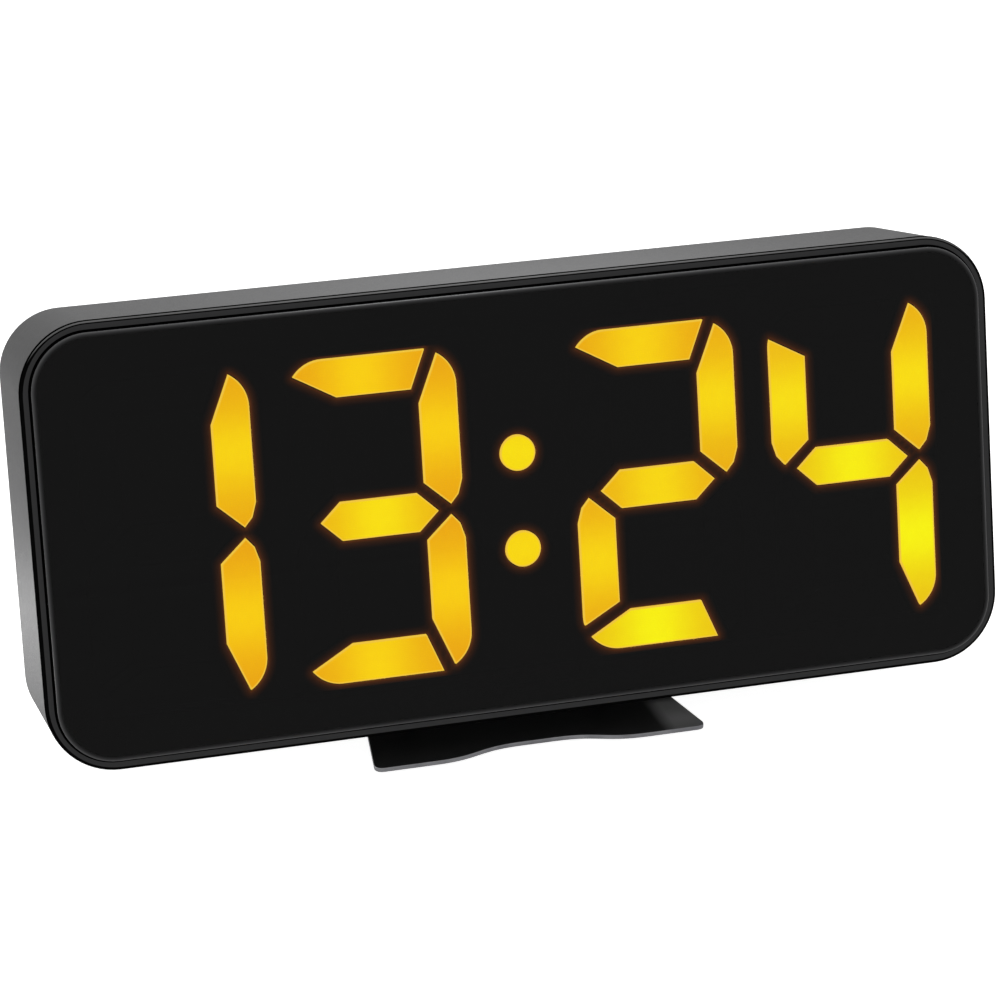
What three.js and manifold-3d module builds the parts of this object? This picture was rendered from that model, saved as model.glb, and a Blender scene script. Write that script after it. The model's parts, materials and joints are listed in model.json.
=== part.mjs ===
// A digital alarm clock with a wide four-digit lit display behind a smoked lens.
// It leans back on a small hinged foot plate.  Lengths are millimetres, +Z is up,
// the display faces -Y, and the clock stands on z = 0.

import * as THREE from 'three';
import { mergeVertices } from 'three/addons/utils/BufferGeometryUtils.js';
import Module from 'manifold-3d';

const wasm = await Module();
wasm.setup();

// Body: the overall block of casing and frame, in its own leaning axes.
// x runs to the right, y runs back from the front of the frame, z runs up the face.
const bodyWidth = 165;
const bodyHeight = 73.5;
const bodyDepth = 26.5;
const cornerRadius = 11.6;
const sideDraft = 1.1;
const leanAngle = 11.7;
const restGap = 1;

// Clearances shared by every piece.
const gap = 0.3;
const slidingGap = 0.3;
const overrun = 1;

// Front frame and lens.
const rimDepth = 1.05;
const rimEdge = 0.2;
const partingGap = 0.25;
const lensInset = 1.75;
const lensThickness = 1.5;
const lensProud = 1;
const lensEdge = 0.3;
const lensGroove = 0.35;
const lensCornerRadius = 9.5;
const ledgeThickness = 1.2;
const spigotDepth = 3;
const spigotWall = 1.6;

// Rear casing shell.
const sideWall = 1.8;
const backWall = 2.2;
const lipWall = 1;
const casingFrontEdge = 0.25;
const casingBackEdge = 1;

// Display: four upright seven-segment digits and a colon, which fill the face inside margins.
const displaySideMargin = 9.5;
const displayEndMargin = 9.8;
const digitCount = 4;
const digitGap = 6.25;
const colonGap = 19.5;
const stroke = 6.42;
const digitCorner = 6.2;
const dotRadius = 3;
const dotPlace = 8.08;
const displayShiftX = -0.75;
const displayShiftZ = -0.65;
const windowMargin = 0.8;
const stackMargin = 1.2;
const sightGap = 0.2;
const maskThickness = 0.5;
const webThickness = 0.5;
const padSetback = 0.1;
const blockDepthShare = 0.625;
const boardThickness = 1.6;
const chipSize = 2.4;
const chipHeight = 0.8;

// Places on the boards and the back wall, as shares of the body's width and height.
const across = (widthShare) => widthShare * bodyWidth;
const above = (heightShare) => heightShare * bodyHeight;

// Main board and the parts that it carries.
const backRoom = 5.4;
const boardSideInset = 20.5;
const boardTopInset = 14.75;
const boardBottomInset = 13.75;
const chipSide = 10;
const chipTall = 1.6;
const chipAcrossShare = 0.05;
const chipUpShare = 0.03;
const crystalLength = 7;
const crystalWidth = 5;
const crystalTall = 1.8;
const crystalAcrossShare = 0.145;
const headerLength = 25.4;
const headerWidth = 2.5;
const headerAcrossShare = -0.13;
const headerUpShare = 0.218;
const capacitorRadius = 3.1;
const capacitorAcrossShare = 0.135;
const capacitorUpShare = -0.19;
const buzzerRadius = 6;
const buzzerAcrossShare = -0.28;
const buzzerUpShare = 0.136;
const buzzerMouth = 1;

// Touch zone under the top wall.
const electrodeLength = 60;
const foilThickness = 0.3;
const contactWidth = 3;
const contactReach = 3.6;
const contactRoot = 5;

// Coin cell, its holder and the twist-off door.
const cellRadius = 10;
const cellThickness = 3.2;
const cellAcrossShare = -0.18;
const cellUpShare = -0.122;
const holderWall = 1.6;
const holderTall = 3.5;
const cellContactWidth = 4;
const doorRadius = 13;
const doorCoreRadius = 11.7;
const doorFlange = 0.9;
const doorTabReach = 1.4;
const doorTabWidth = 5;
const doorTabThickness = 1;
const coinSlotLength = 13;
const coinSlotWidth = 1.8;
const coinSlotDepth = 1;

// Keys at the back, each over its own push switch.
const keyNames = ['alarm', 'plus', 'minus', 'set'];
const keyFirstShare = 0.036;
const keyPitchShare = 0.079;
const keyUpShare = 0.15;
const keyWidth = 8;
const keyHeight = 5;
const keyFlange = 1;
const keyFlangeThickness = 0.9;
const keyProud = 0.8;
const keyEdge = 0.4;
const keyTravel = 0.5;
const switchSide = 6;
const switchTall = 3.3;
const plungerRadius = 1.7;
const plungerLength = 2;
const plungerOut = 0.6;

// Slide switch at the back.
const sliderAcrossShare = -0.073;
const sliderGrip = 4;
const sliderHeight = 3;
const sliderFlange = 1.4;
const sliderProud = 1.2;
const sliderTravel = 3;
const sliderStem = 1.6;
const sliderStemReach = 0.8;
const slideSwitchLength = 10;
const slideSwitchWidth = 4.4;

// Power inlet.
const inletAcrossShare = 0.255;
const inletWidth = 9.2;
const inletHeight = 11;
const inletFrontGap = 0.8;
const inletFloor = 1.4;
const inletBore = 3.2;
const inletPin = 1.05;
const inletPinSetback = 1.5;
const inletMouth = 4.2;

// Sound holes and vents in the back wall.
const soundHoleRadius = 0.9;
const soundRingRadius = 4.2;
const soundHoleCount = 8;
const ventLength = 12;
const ventWidth = 1.4;
const ventPitchShare = 0.09;
const ventUpShare = 0.34;
const ventCount = 7;

// Fixings.
const casingScrewInset = 16.5;
const postInset = 5.05;
const postRadius = 2.4;
const pilotRadius = 1.4;
const casingPostRadius = 3.7;
const screwRecess = 2.7;
const screwFloor = 1.2;
const framePostLength = 13.7;
const screwHeadRadius = 2.3;
const screwHeadHeight = 1.6;
const screwShank = 1.1;
const casingScrewLength = 9;
const displayScrewShare = 0.133;
const displayScrewTipGap = 3.8;
const earWidth = 8;
const boardScrewSideInset = 5;
const boardScrewEndInset = 4;
const boardScrewLength = 4.5;

// Foot plate, its hinge and its pads.
const plateThickness = 0.8;
const footHalfWidth = 28.75;
const footRearHalfWidth = 24;
const footFrontReach = 8.7;
const footRearReach = 23;
const footCorner = 1.5;
const footRearCorner = 3;
const waistDepth = 2.85;
const waistOuter = 18.5;
const waistInner = 3;
const padThickness = 0.8;
const padWidth = 6;
const padFrontInset = 3;
const padRearInset = 3;
const padPlace = 20;
const pinRadius = 1.5;
const pinInset = 6;
const pinRise = 3.4;
const lugPlace = 16.8;
const lugRadius = 2.6;
const washerThickness = 0.6;
const washerRadius = 2.5;
const bossThickness = 3.5;
const bossReach = 3.2;
const slotRunFront = 0.6;
const slotRunBack = 1;
const pinOverhang = 0.7;

// Fineness of round stretches, as counts.
const cornerSteps = 6;
const roundSides = 12;
const arcSteps = 3;

// Places worked out from the sizes above, along y from front to back.
const casingFront = rimDepth + partingGap;
const lensBack = lensThickness - lensProud;
const ledgeFront = lensBack + gap;
const ledgeBack = ledgeFront + ledgeThickness;
const maskFront = ledgeBack + gap;
const maskBack = maskFront + maskThickness;
const padFront = maskFront + padSetback;
const webFront = maskBack + gap;
const webBack = webFront + webThickness;
const blockFront = webBack + gap;
const innerBack = bodyDepth - backWall;
const underWall = innerBack - gap;
const mainBoardBack = underWall - backRoom;
const mainBoardFront = mainBoardBack - boardThickness;
const onBoardBack = mainBoardBack + gap;
const onBoardFront = mainBoardFront - gap;
const blockDepth = blockDepthShare * (mainBoardFront - blockFront - gap - boardThickness);
const blockBack = blockFront + blockDepth;
const ledBoardFront = blockBack + gap;
const ledBoardBack = ledBoardFront + boardThickness;
const framePostEnd = ledgeBack + framePostLength;
const screwFloorFront = framePostEnd + gap;
const screwFloorBack = screwFloorFront + screwFloor;
const pinDepth = bodyDepth - pinInset;

// Places worked out across the face and up it.
const displayWidth = bodyWidth - 2 * displaySideMargin;
const digitHeight = bodyHeight - 2 * displayEndMargin;
const digitWidth = (displayWidth - 2 * digitGap - colonGap) / digitCount;
const digitPitch = digitWidth + digitGap;
const innerDigitPlace = (colonGap + digitWidth) / 2;
const mainBoardHalfWidth = bodyWidth / 2 - boardSideInset;
const mainBoardTop = bodyHeight / 2 - boardTopInset;
const mainBoardBottom = -bodyHeight / 2 + boardBottomInset;
const casingScrewX = bodyWidth / 2 - casingScrewInset;
const postZ = bodyHeight / 2 - postInset;
const displayScrewX = across(displayScrewShare);
const boardScrewX = mainBoardHalfWidth - boardScrewSideInset;
const boardScrewZ = mainBoardTop - boardScrewEndInset;
const buzzerX = across(buzzerAcrossShare);
const buzzerZ = above(buzzerUpShare);
const cellX = across(cellAcrossShare);
const cellZ = above(cellUpShare);
const keyZ = above(keyUpShare);
const sliderX = across(sliderAcrossShare);
const sliderZ = keyZ;
const inletX = across(inletAcrossShare);
const inletZ = cellZ;

const draftAt = (y) => sideDraft * (y / bodyDepth);
const lean = THREE.MathUtils.degToRad(leanAngle);

// Solids from three.js shapes.

function toSolid(geometry) {
  geometry.deleteAttribute('normal');
  geometry.deleteAttribute('uv');
  const merged = mergeVertices(geometry);
  return new wasm.Manifold(new wasm.Mesh({
    numProp: 3,
    vertProperties: Float32Array.from(merged.attributes.position.array),
    triVerts: Uint32Array.from(merged.index.array),
  }));
}

function toGeometry(solid) {
  const { vertProperties, triVerts } = solid.getMesh();
  const geometry = new THREE.BufferGeometry();
  geometry.setAttribute('position', new THREE.BufferAttribute(vertProperties, 3));
  geometry.setIndex(new THREE.BufferAttribute(triVerts, 1));
  geometry.computeVertexNormals();
  return geometry;
}

const joined = (solids) => solids.reduce((all, next) => all.add(next));
const cutFrom = (solid, tools) => tools.reduce((rest, tool) => rest.subtract(tool), solid);

// A box between two limits on each axis.
function block([x0, x1], [y0, y1], [z0, z1]) {
  const box = new THREE.BoxGeometry(x1 - x0, y1 - y0, z1 - z0);
  return toSolid(box.translate((x0 + x1) / 2, (y0 + y1) / 2, (z0 + z1) / 2));
}

const span = (centre, size) => [centre - size / 2, centre + size / 2];

function rodAlongY(radius, [y0, y1], x, z, sides = roundSides) {
  const rod = new THREE.CylinderGeometry(radius, radius, y1 - y0, sides);
  return toSolid(rod.translate(x, (y0 + y1) / 2, z));
}

function rodAlongX(radius, [x0, x1], y, z) {
  const rod = new THREE.CylinderGeometry(radius, radius, x1 - x0, roundSides);
  return toSolid(rod.rotateZ(Math.PI / 2).translate((x0 + x1) / 2, y, z));
}

// A flat outline in x and z, pushed from y0 to y1.
function slab(outline, [y0, y1]) {
  const shape = new THREE.Shape(outline);
  const geometry = new THREE.ExtrudeGeometry(shape, { depth: y1 - y0, bevelEnabled: false });
  return toSolid(geometry.rotateX(Math.PI / 2).translate(0, y1, 0));
}

// Points of a rounded rectangle about the origin, anticlockwise.
function roundedRectangle(width, height, radius, steps = cornerSteps) {
  const points = [];
  for (let corner = 0; corner < 4; corner += 1) {
    const sideX = corner === 0 || corner === 3 ? 1 : -1;
    const sideZ = corner < 2 ? 1 : -1;
    for (let step = 0; step <= steps; step += 1) {
      const turn = (corner + step / steps) * (Math.PI / 2);
      points.push(new THREE.Vector2(
        sideX * (width / 2 - radius) + radius * Math.cos(turn),
        sideZ * (height / 2 - radius) + radius * Math.sin(turn),
      ));
    }
  }
  return points;
}

// A solid through rounded rectangles set one behind the other along y.
function loft(sections, x = 0, z = 0) {
  const rings = sections.map(({ y, width, height, radius }) => (
    roundedRectangle(width, height, radius).map((p) => [x + p.x, y, z + p.y])
  ));
  const count = rings[0].length;
  const last = rings.length - 1;
  const positions = rings.flat(2);
  const frontCentre = rings.length * count;
  positions.push(x, sections[0].y, z, x, sections[last].y, z);
  const faces = [];
  for (let j = 0; j < count; j += 1) {
    const k = (j + 1) % count;
    faces.push(frontCentre, j, k);
    faces.push(frontCentre + 1, last * count + k, last * count + j);
    for (let i = 0; i < last; i += 1) {
      const here = i * count;
      const next = here + count;
      faces.push(here + j, next + j, here + k, here + k, next + j, next + k);
    }
  }
  const geometry = new THREE.BufferGeometry();
  geometry.setAttribute('position', new THREE.Float32BufferAttribute(positions, 3));
  geometry.setIndex(faces);
  return toSolid(geometry);
}

// The body's outer section at a depth, drawn in all round by an inset.
function bodySection(y, inset) {
  const drawnIn = draftAt(y) + inset;
  return {
    y,
    width: bodyWidth - 2 * drawnIn,
    height: bodyHeight - 2 * drawnIn,
    radius: cornerRadius - drawnIn,
  };
}

// A straight section of the body's face outline, with no draft.
function faceSection(y, inset, radius = cornerRadius - inset) {
  return { y, width: bodyWidth - 2 * inset, height: bodyHeight - 2 * inset, radius };
}

const corners = [[-1, -1], [1, -1], [1, 1], [-1, 1]];

// Finishes.
const finish = (color, roughness, metalness = 0) => (
  new THREE.MeshStandardMaterial({ color, roughness, metalness })
);
const texturedBlack = finish(0x2b2b2c, 0.75);
const glossBlack = finish(0x121212, 0.2);
const smokedLens = finish(0x0c0c0d, 0.08);
const matteBlack = finish(0x0a0a0a, 0.9);
const milkyAmber = finish(0xffc400, 0.5);
const whitePlastic = finish(0xe6e4dc, 0.6);
const boardGreen = finish(0x1f5a34, 0.5);
const chipBlack = finish(0x1a1a1c, 0.5);
const brightSteel = finish(0xb4b6b8, 0.3, 1);
const copperFoil = finish(0xb87345, 0.35, 1);
const keyBlack = finish(0x1c1c1d, 0.6);
const paintedSteel = finish(0x101011, 0.35, 0.2);
const padRubber = finish(0x181818, 0.95);

const clock = new THREE.Group();
const body = new THREE.Group();
const foot = new THREE.Group();
clock.add(body, foot);

function addPiece(group, name, solid, material) {
  const mesh = new THREE.Mesh(toGeometry(solid), material);
  mesh.name = name;
  group.add(mesh);
}

// Display outlines: each lit segment as points in x and z about the digit's centre.

function cornerArc(sideX, sideZ, fromTurn, toTurn) {
  const points = [];
  for (let step = 0; step <= arcSteps; step += 1) {
    const turn = fromTurn + (toTurn - fromTurn) * (step / arcSteps);
    points.push([
      sideX * (digitWidth / 2 - digitCorner + digitCorner * Math.cos(turn)),
      sideZ * (digitHeight / 2 - digitCorner + digitCorner * Math.sin(turn)),
    ]);
  }
  return points;
}

// Shares of the stroke that place the mitred ends.
const steepTopShare = 0.79;
const steepFootShare = 1.2;
const steepInnerShare = 1.38;
const shallowInnerShare = 1.24;
const shallowRunShare = 1.28;
const waistTipShare = 0.14;
const waistFlankShare = 0.38;
const waistFlankInShare = 0.12;
const waistTipInShare = 0.33;
const waistOuterShare = 0.77;
const waistInnerShare = 0.74;
const barTipShare = 0.67;
const barShoulderShare = 1.2;
const steepTurnShare = 0.66;
const shallowTurnShare = 0.41;
const lowTurnShare = 0.17;

const quarter = Math.PI / 2;

// The top bar: rounded outside at the left, cut steeply at the right.
function topBar() {
  const top = digitHeight / 2;
  const left = -digitWidth / 2;
  const right = digitWidth / 2;
  return [
    ...cornerArc(-1, 1, quarter * shallowTurnShare, quarter),
    [right - stroke * steepTopShare, top],
    [right - stroke * steepFootShare, top - stroke],
    [left + stroke * shallowRunShare, top - stroke],
  ];
}

// The right-hand column, cut steeply at its top corner and pointed at the waist.
function rightBar() {
  const right = digitWidth / 2;
  return [
    ...cornerArc(1, 1, quarter * steepTurnShare, 0),
    [right, stroke * waistOuterShare],
    [right - stroke * waistFlankInShare, stroke * waistFlankShare],
    [right - stroke * waistTipInShare, stroke * waistTipShare],
    [right - stroke, stroke * waistInnerShare],
    [right - stroke, digitHeight / 2 - stroke * steepInnerShare],
  ];
}

// The left-hand column, cut shallowly at its top corner and pointed at the waist.
function leftBar() {
  const left = -digitWidth / 2;
  return [
    ...cornerArc(-1, 1, quarter * lowTurnShare, 0),
    [left, stroke * waistOuterShare],
    [left + stroke * waistFlankInShare, stroke * waistFlankShare],
    [left + stroke * waistTipInShare, stroke * waistTipShare],
    [left + stroke, stroke * waistInnerShare],
    [left + stroke, digitHeight / 2 - stroke * shallowInnerShare],
  ];
}

function middleBar() {
  const tip = digitWidth / 2 - stroke * barTipShare;
  const shoulder = digitWidth / 2 - stroke * barShoulderShare;
  return [
    [-tip, 0], [-shoulder, -stroke / 2], [shoulder, -stroke / 2],
    [tip, 0], [shoulder, stroke / 2], [-shoulder, stroke / 2],
  ];
}

const flipped = (points) => points.map(([x, z]) => [x, -z]);

function anticlockwise(points) {
  const vectors = points.map(([x, z]) => new THREE.Vector2(x, z));
  return THREE.ShapeUtils.isClockWise(vectors) ? vectors.reverse() : vectors;
}

const segmentOutlines = [
  topBar(), rightBar(), flipped(rightBar()), flipped(topBar()),
  flipped(leftBar()), leftBar(), middleBar(),
].map(anticlockwise);

function dotOutline() {
  const points = [];
  for (let side = 0; side < roundSides; side += 1) {
    const turn = (side / roundSides) * Math.PI * 2;
    points.push(new THREE.Vector2(dotRadius * Math.cos(turn), dotRadius * Math.sin(turn)));
  }
  return points;
}

// An outline moved outwards by an even margin.
function grown(points, margin) {
  return points.map((here, index) => {
    const before = points[(index + points.length - 1) % points.length];
    const after = points[(index + 1) % points.length];
    const into = here.clone().sub(before).normalize();
    const out = after.clone().sub(here).normalize();
    const normalIn = new THREE.Vector2(into.y, -into.x);
    const normalOut = new THREE.Vector2(out.y, -out.x);
    const miter = normalIn.clone().add(normalOut).normalize();
    return here.clone().addScaledVector(miter, margin / miter.dot(normalIn));
  });
}

const digitPlaces = [
  -innerDigitPlace - digitPitch, -innerDigitPlace,
  innerDigitPlace, innerDigitPlace + digitPitch,
].map((x) => x + displayShiftX);

const moved = (points, x, z) => points.map((p) => new THREE.Vector2(p.x + x, p.y + z));

// Every opening of the display: four digits of seven segments, and two dots.
const digitSights = digitPlaces.map((x) => (
  segmentOutlines.map((outline) => moved(outline, x, displayShiftZ))
));
const dotSights = [dotPlace, -dotPlace].map((z) => (
  moved(dotOutline(), displayShiftX, displayShiftZ + z)
));
const allSights = [...digitSights.flat(), ...dotSights];

const windowWidth = displayWidth + 2 * windowMargin;
const windowHeight = digitHeight + 2 * windowMargin;
const stackWidth = displayWidth + 2 * stackMargin;
const stackHeight = digitHeight + 2 * stackMargin;
const stackX = [displayShiftX - stackWidth / 2, displayShiftX + stackWidth / 2];
const stackZ = [displayShiftZ - stackHeight / 2, displayShiftZ + stackHeight / 2];

// A sheet of the display stack with a sight hole for every segment and dot.
function sightSheet([y0, y1]) {
  const shape = new THREE.Shape([
    new THREE.Vector2(stackX[0], stackZ[0]), new THREE.Vector2(stackX[1], stackZ[0]),
    new THREE.Vector2(stackX[1], stackZ[1]), new THREE.Vector2(stackX[0], stackZ[1]),
  ]);
  shape.holes = allSights.map((outline) => new THREE.Path(grown(outline, sightGap)));
  const geometry = new THREE.ExtrudeGeometry(shape, { depth: y1 - y0, bevelEnabled: false });
  return toSolid(geometry.rotateX(Math.PI / 2).translate(0, y1, 0));
}

// Sub-parts of the body.

const cornerPlaces = (x, z) => corners.map(([sideX, sideZ]) => [sideX * x, sideZ * z]);
const casingScrewPlaces = cornerPlaces(casingScrewX, postZ);
const displayScrewPlaces = cornerPlaces(displayScrewX, postZ);
const boardScrewPlaces = cornerPlaces(boardScrewX, boardScrewZ);

function makeFrontFrame() {
  const recess = lensInset - lensGroove;
  const spigotOuter = lipWall + slidingGap;
  const spigotInner = spigotOuter + spigotWall;
  const spigotEnd = rimDepth + spigotDepth;
  const rim = loft([
    faceSection(0, rimEdge), faceSection(rimEdge, 0),
    faceSection(rimDepth - rimEdge, 0), faceSection(rimDepth, rimEdge),
  ]);
  const spigot = loft([faceSection(0, spigotOuter), faceSection(spigotEnd, spigotOuter)]);
  const recessRadius = lensCornerRadius + lensGroove;
  const lensRecess = loft([
    faceSection(-overrun, recess, recessRadius), faceSection(ledgeFront, recess, recessRadius),
  ]);
  const backHollow = loft([
    faceSection(ledgeBack, spigotInner), faceSection(spigotEnd + overrun, spigotInner),
  ]);
  const posts = [
    ...casingScrewPlaces.map(([x, z]) => (
      rodAlongY(postRadius, [ledgeFront, framePostEnd], x, z)
    )),
    ...displayScrewPlaces.map(([x, z]) => (
      rodAlongY(postRadius, [ledgeFront, blockBack], x, z)
    )),
  ];
  const pilots = [...casingScrewPlaces, ...displayScrewPlaces].map(([x, z]) => (
    rodAlongY(pilotRadius, [ledgeBack + gap, framePostEnd + overrun], x, z)
  ));
  const window = block(
    span(displayShiftX, windowWidth), [0, ledgeBack + overrun], span(displayShiftZ, windowHeight),
  );
  const shell = joined([rim, spigot]).subtract(lensRecess).subtract(backHollow);
  return cutFrom(joined([shell, ...posts]), [...pilots, window]);
}

function makeLens() {
  return loft([
    faceSection(-lensProud, lensInset + lensEdge, lensCornerRadius - lensEdge),
    faceSection(-lensProud + lensEdge, lensInset, lensCornerRadius),
    faceSection(lensBack, lensInset, lensCornerRadius),
  ]);
}

function makeDigitDiffuser(outlines, x) {
  const web = block(span(x, digitWidth), [webFront, webBack], span(displayShiftZ, digitHeight));
  const pads = outlines.map((outline) => slab(outline, [padFront, webFront + webThickness / 2]));
  return joined([web, ...pads]);
}

function makeColonDiffuser() {
  const web = block(
    span(displayShiftX, 2 * dotRadius), [webFront, webBack],
    span(displayShiftZ, 2 * (dotPlace + dotRadius)),
  );
  const pads = dotSights.map((outline) => slab(outline, [padFront, webFront + webThickness / 2]));
  return joined([web, ...pads]);
}

// The board with a light chip under the middle of each segment and dot.
function makeLedBoard() {
  const board = block(stackX, [ledBoardFront, ledBoardBack], stackZ);
  const earEnd = postZ + postRadius - slidingGap;
  const ears = displayScrewPlaces.map(([x, z]) => block(
    span(x, earWidth), [ledBoardFront, ledBoardBack], z > 0 ? [0, earEnd] : [-earEnd, 0],
  ));
  const chips = allSights.map((outline) => {
    const bounds = new THREE.Box2().setFromPoints(outline);
    const middle = bounds.getCenter(new THREE.Vector2());
    return block(
      span(middle.x, chipSize), [ledBoardFront - chipHeight, ledBoardFront + chipHeight],
      span(middle.y, chipSize),
    );
  });
  const holes = displayScrewPlaces.map(([x, z]) => (
    rodAlongY(pilotRadius, [ledBoardFront - overrun, ledBoardBack + overrun], x, z)
  ));
  return cutFrom(joined([board, ...ears, ...chips]), holes);
}

// A round-headed screw driven towards the front, its head at the back.
function makeScrew(x, z, headFront, length) {
  const shank = rodAlongY(screwShank, [headFront - length, headFront + screwHeadHeight / 2], x, z);
  const head = rodAlongY(screwHeadRadius, [headFront, headFront + screwHeadHeight], x, z);
  return shank.add(head);
}

// A round-headed screw driven towards the back, its head at the front.
function makeBoardScrew(x, z) {
  const headBack = onBoardFront;
  const shankEnd = headBack + boardScrewLength;
  const shank = rodAlongY(screwShank, [headBack - screwHeadHeight / 2, shankEnd], x, z);
  return shank.add(rodAlongY(screwHeadRadius, [headBack - screwHeadHeight, headBack], x, z));
}

const keyPlaces = keyNames.map((name, index) => (
  { name, x: across(keyFirstShare + index * keyPitchShare), z: keyZ }
));

function makeMainBoard() {
  const through = [mainBoardFront - overrun, mainBoardBack + overrun];
  const board = block(
    [-mainBoardHalfWidth, mainBoardHalfWidth], [mainBoardFront, mainBoardBack],
    [mainBoardBottom, mainBoardTop],
  );
  const inletCut = block(
    span(inletX, inletWidth + 2 * gap), through, span(inletZ, inletHeight + 2 * gap),
  );
  const holes = boardScrewPlaces.map(([x, z]) => rodAlongY(pilotRadius, through, x, z));
  return cutFrom(board, [inletCut, ...holes]);
}

function makeInlet() {
  const inletFront = ledBoardBack + inletFrontGap;
  const inletBack = underWall;
  const housing = block(
    span(inletX, inletWidth), [inletFront, inletBack], span(inletZ, inletHeight),
  );
  const boreStart = inletFront + inletFloor;
  const bore = rodAlongY(inletBore, [boreStart, inletBack + overrun], inletX, inletZ);
  const pinEnd = inletBack - inletPinSetback;
  const pin = rodAlongY(inletPin, [boreStart - gap, pinEnd], inletX, inletZ);
  return housing.subtract(bore).add(pin);
}

function makeBuzzer() {
  const can = rodAlongY(buzzerRadius, [onBoardBack, underWall], buzzerX, buzzerZ);
  const mouth = rodAlongY(
    buzzerMouth, [underWall - buzzerMouth, underWall + overrun], buzzerX, buzzerZ,
  );
  return can.subtract(mouth);
}

const displayScrewBack = ledBoardBack + gap + screwHeadHeight;
const electrodeFront = displayScrewBack + 2 * gap;
const electrodeBack = innerBack - overrun;
const electrodeTop = bodyHeight / 2 - draftAt(electrodeBack) - sideWall - gap;
const electrodeBottom = electrodeTop - foilThickness;

function makeTouchElectrode() {
  return block(
    span(0, electrodeLength), [electrodeFront, electrodeBack],
    [electrodeBottom, electrodeTop],
  );
}

// A bent leaf from the back of the board up to the foil.
function makeTouchContact() {
  const top = electrodeBottom - gap;
  const leg = block(
    span(0, contactWidth), [onBoardBack, onBoardBack + foilThickness],
    [mainBoardTop - contactRoot, top],
  );
  const toe = block(
    span(0, contactWidth), [onBoardBack, onBoardBack + contactReach], [top - foilThickness, top],
  );
  return leg.add(toe);
}

const cellContactBack = onBoardBack + foilThickness;
const cellFront = cellContactBack + gap;
const cellBack = cellFront + cellThickness;

function makeCellHolder() {
  const wall = [onBoardBack, onBoardBack + holderTall];
  const through = [onBoardBack - overrun, onBoardBack + holderTall + overrun];
  const ring = rodAlongY(cellRadius + gap + holderWall, wall, cellX, cellZ, 2 * roundSides);
  const hollow = rodAlongY(cellRadius + gap, through, cellX, cellZ, 2 * roundSides);
  return ring.subtract(hollow);
}

function makeCellContact() {
  return block(
    span(cellX, 2 * cellRadius - cellContactWidth), [onBoardBack, cellContactBack],
    span(cellZ, cellContactWidth),
  );
}

const doorFlangeFront = bodyDepth - doorFlange;
const doorCoreFront = cellBack + gap;
const doorTabBack = innerBack - gap;

function makeBatteryDoor() {
  const flange = rodAlongY(
    doorRadius, [doorFlangeFront, bodyDepth], cellX, cellZ, 2 * roundSides,
  );
  const core = rodAlongY(
    doorCoreRadius, [doorCoreFront, bodyDepth - doorFlange / 2], cellX, cellZ, 2 * roundSides,
  );
  const tabs = block(
    span(cellX, 2 * (doorCoreRadius + doorTabReach)), [doorTabBack - doorTabThickness, doorTabBack],
    span(cellZ, doorTabWidth),
  );
  const slot = block(
    span(cellX, coinSlotLength), [bodyDepth - coinSlotDepth, bodyDepth + overrun],
    span(cellZ, coinSlotWidth),
  );
  return joined([flange, core, tabs]).subtract(slot);
}

const keyFlangeFront = underWall - keyFlangeThickness;
const switchBack = onBoardBack + switchTall;

function makeKeyCap(x, z) {
  const capEnd = bodyDepth + keyProud;
  const flangeWidth = keyWidth + 2 * keyFlange;
  const flangeHeight = keyHeight + 2 * keyFlange;
  const flange = slab(
    moved(roundedRectangle(flangeWidth, flangeHeight, flangeHeight / 2, arcSteps), x, z),
    [keyFlangeFront, underWall],
  );
  const cap = (y, inset) => ({
    y,
    width: keyWidth - 2 * inset,
    height: keyHeight - 2 * inset,
    radius: keyHeight / 2 - inset,
  });
  const stem = loft([
    cap(underWall - keyFlangeThickness / 2, 0), cap(capEnd - keyEdge, 0), cap(capEnd, keyEdge),
  ], x, z);
  return flange.add(stem);
}

function makeKeyPlunger(x, z) {
  const end = switchBack + plungerOut;
  return rodAlongY(plungerRadius, [end - plungerLength, end], x, z);
}

function makeKeySwitch(x, z) {
  const housing = block(span(x, switchSide), [onBoardBack, switchBack], span(z, switchSide));
  const boreStart = switchBack + plungerOut - plungerLength - keyTravel - gap;
  const bore = rodAlongY(plungerRadius + gap, [boreStart, switchBack + overrun], x, z);
  return housing.subtract(bore);
}

function makeSlider() {
  const grip = block(
    span(sliderX, sliderGrip), [underWall - keyFlangeThickness / 2, bodyDepth + sliderProud],
    span(sliderZ, sliderHeight),
  );
  const plate = block(
    span(sliderX, sliderGrip + 2 * (sliderFlange + sliderTravel)),
    [keyFlangeFront, underWall], span(sliderZ, sliderHeight + 2 * sliderFlange),
  );
  const stem = block(
    span(sliderX, sliderStem), [switchBack - sliderStemReach, keyFlangeFront + gap],
    span(sliderZ, sliderStem),
  );
  return joined([grip, plate, stem]);
}

function makeSlideSwitch() {
  const middle = sliderX + sliderTravel / 2;
  const housing = block(
    span(middle, slideSwitchLength), [onBoardBack, switchBack], span(sliderZ, slideSwitchWidth),
  );
  const slot = block(
    span(middle, sliderTravel + sliderStem + 2 * gap),
    [switchBack - sliderStemReach - gap, switchBack + overrun],
    span(sliderZ, sliderStem + 2 * gap),
  );
  return housing.subtract(slot);
}

// Hinge of the foot plate, in the body's axes and in level axes.
const pinZ = -(bodyHeight / 2 - draftAt(pinDepth)) + pinRise;
const lugOuter = lugPlace + plateThickness;
const washerInner = lugOuter + gap;
const washerOuter = washerInner + washerThickness;
const outerBoss = [washerOuter + gap, washerOuter + gap + bossThickness];
const innerBoss = [lugPlace - gap - bossThickness, lugPlace - gap];

const mirroredSpan = (side, [x0, x1]) => (side > 0 ? [x0, x1] : [-x1, -x0]);

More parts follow.
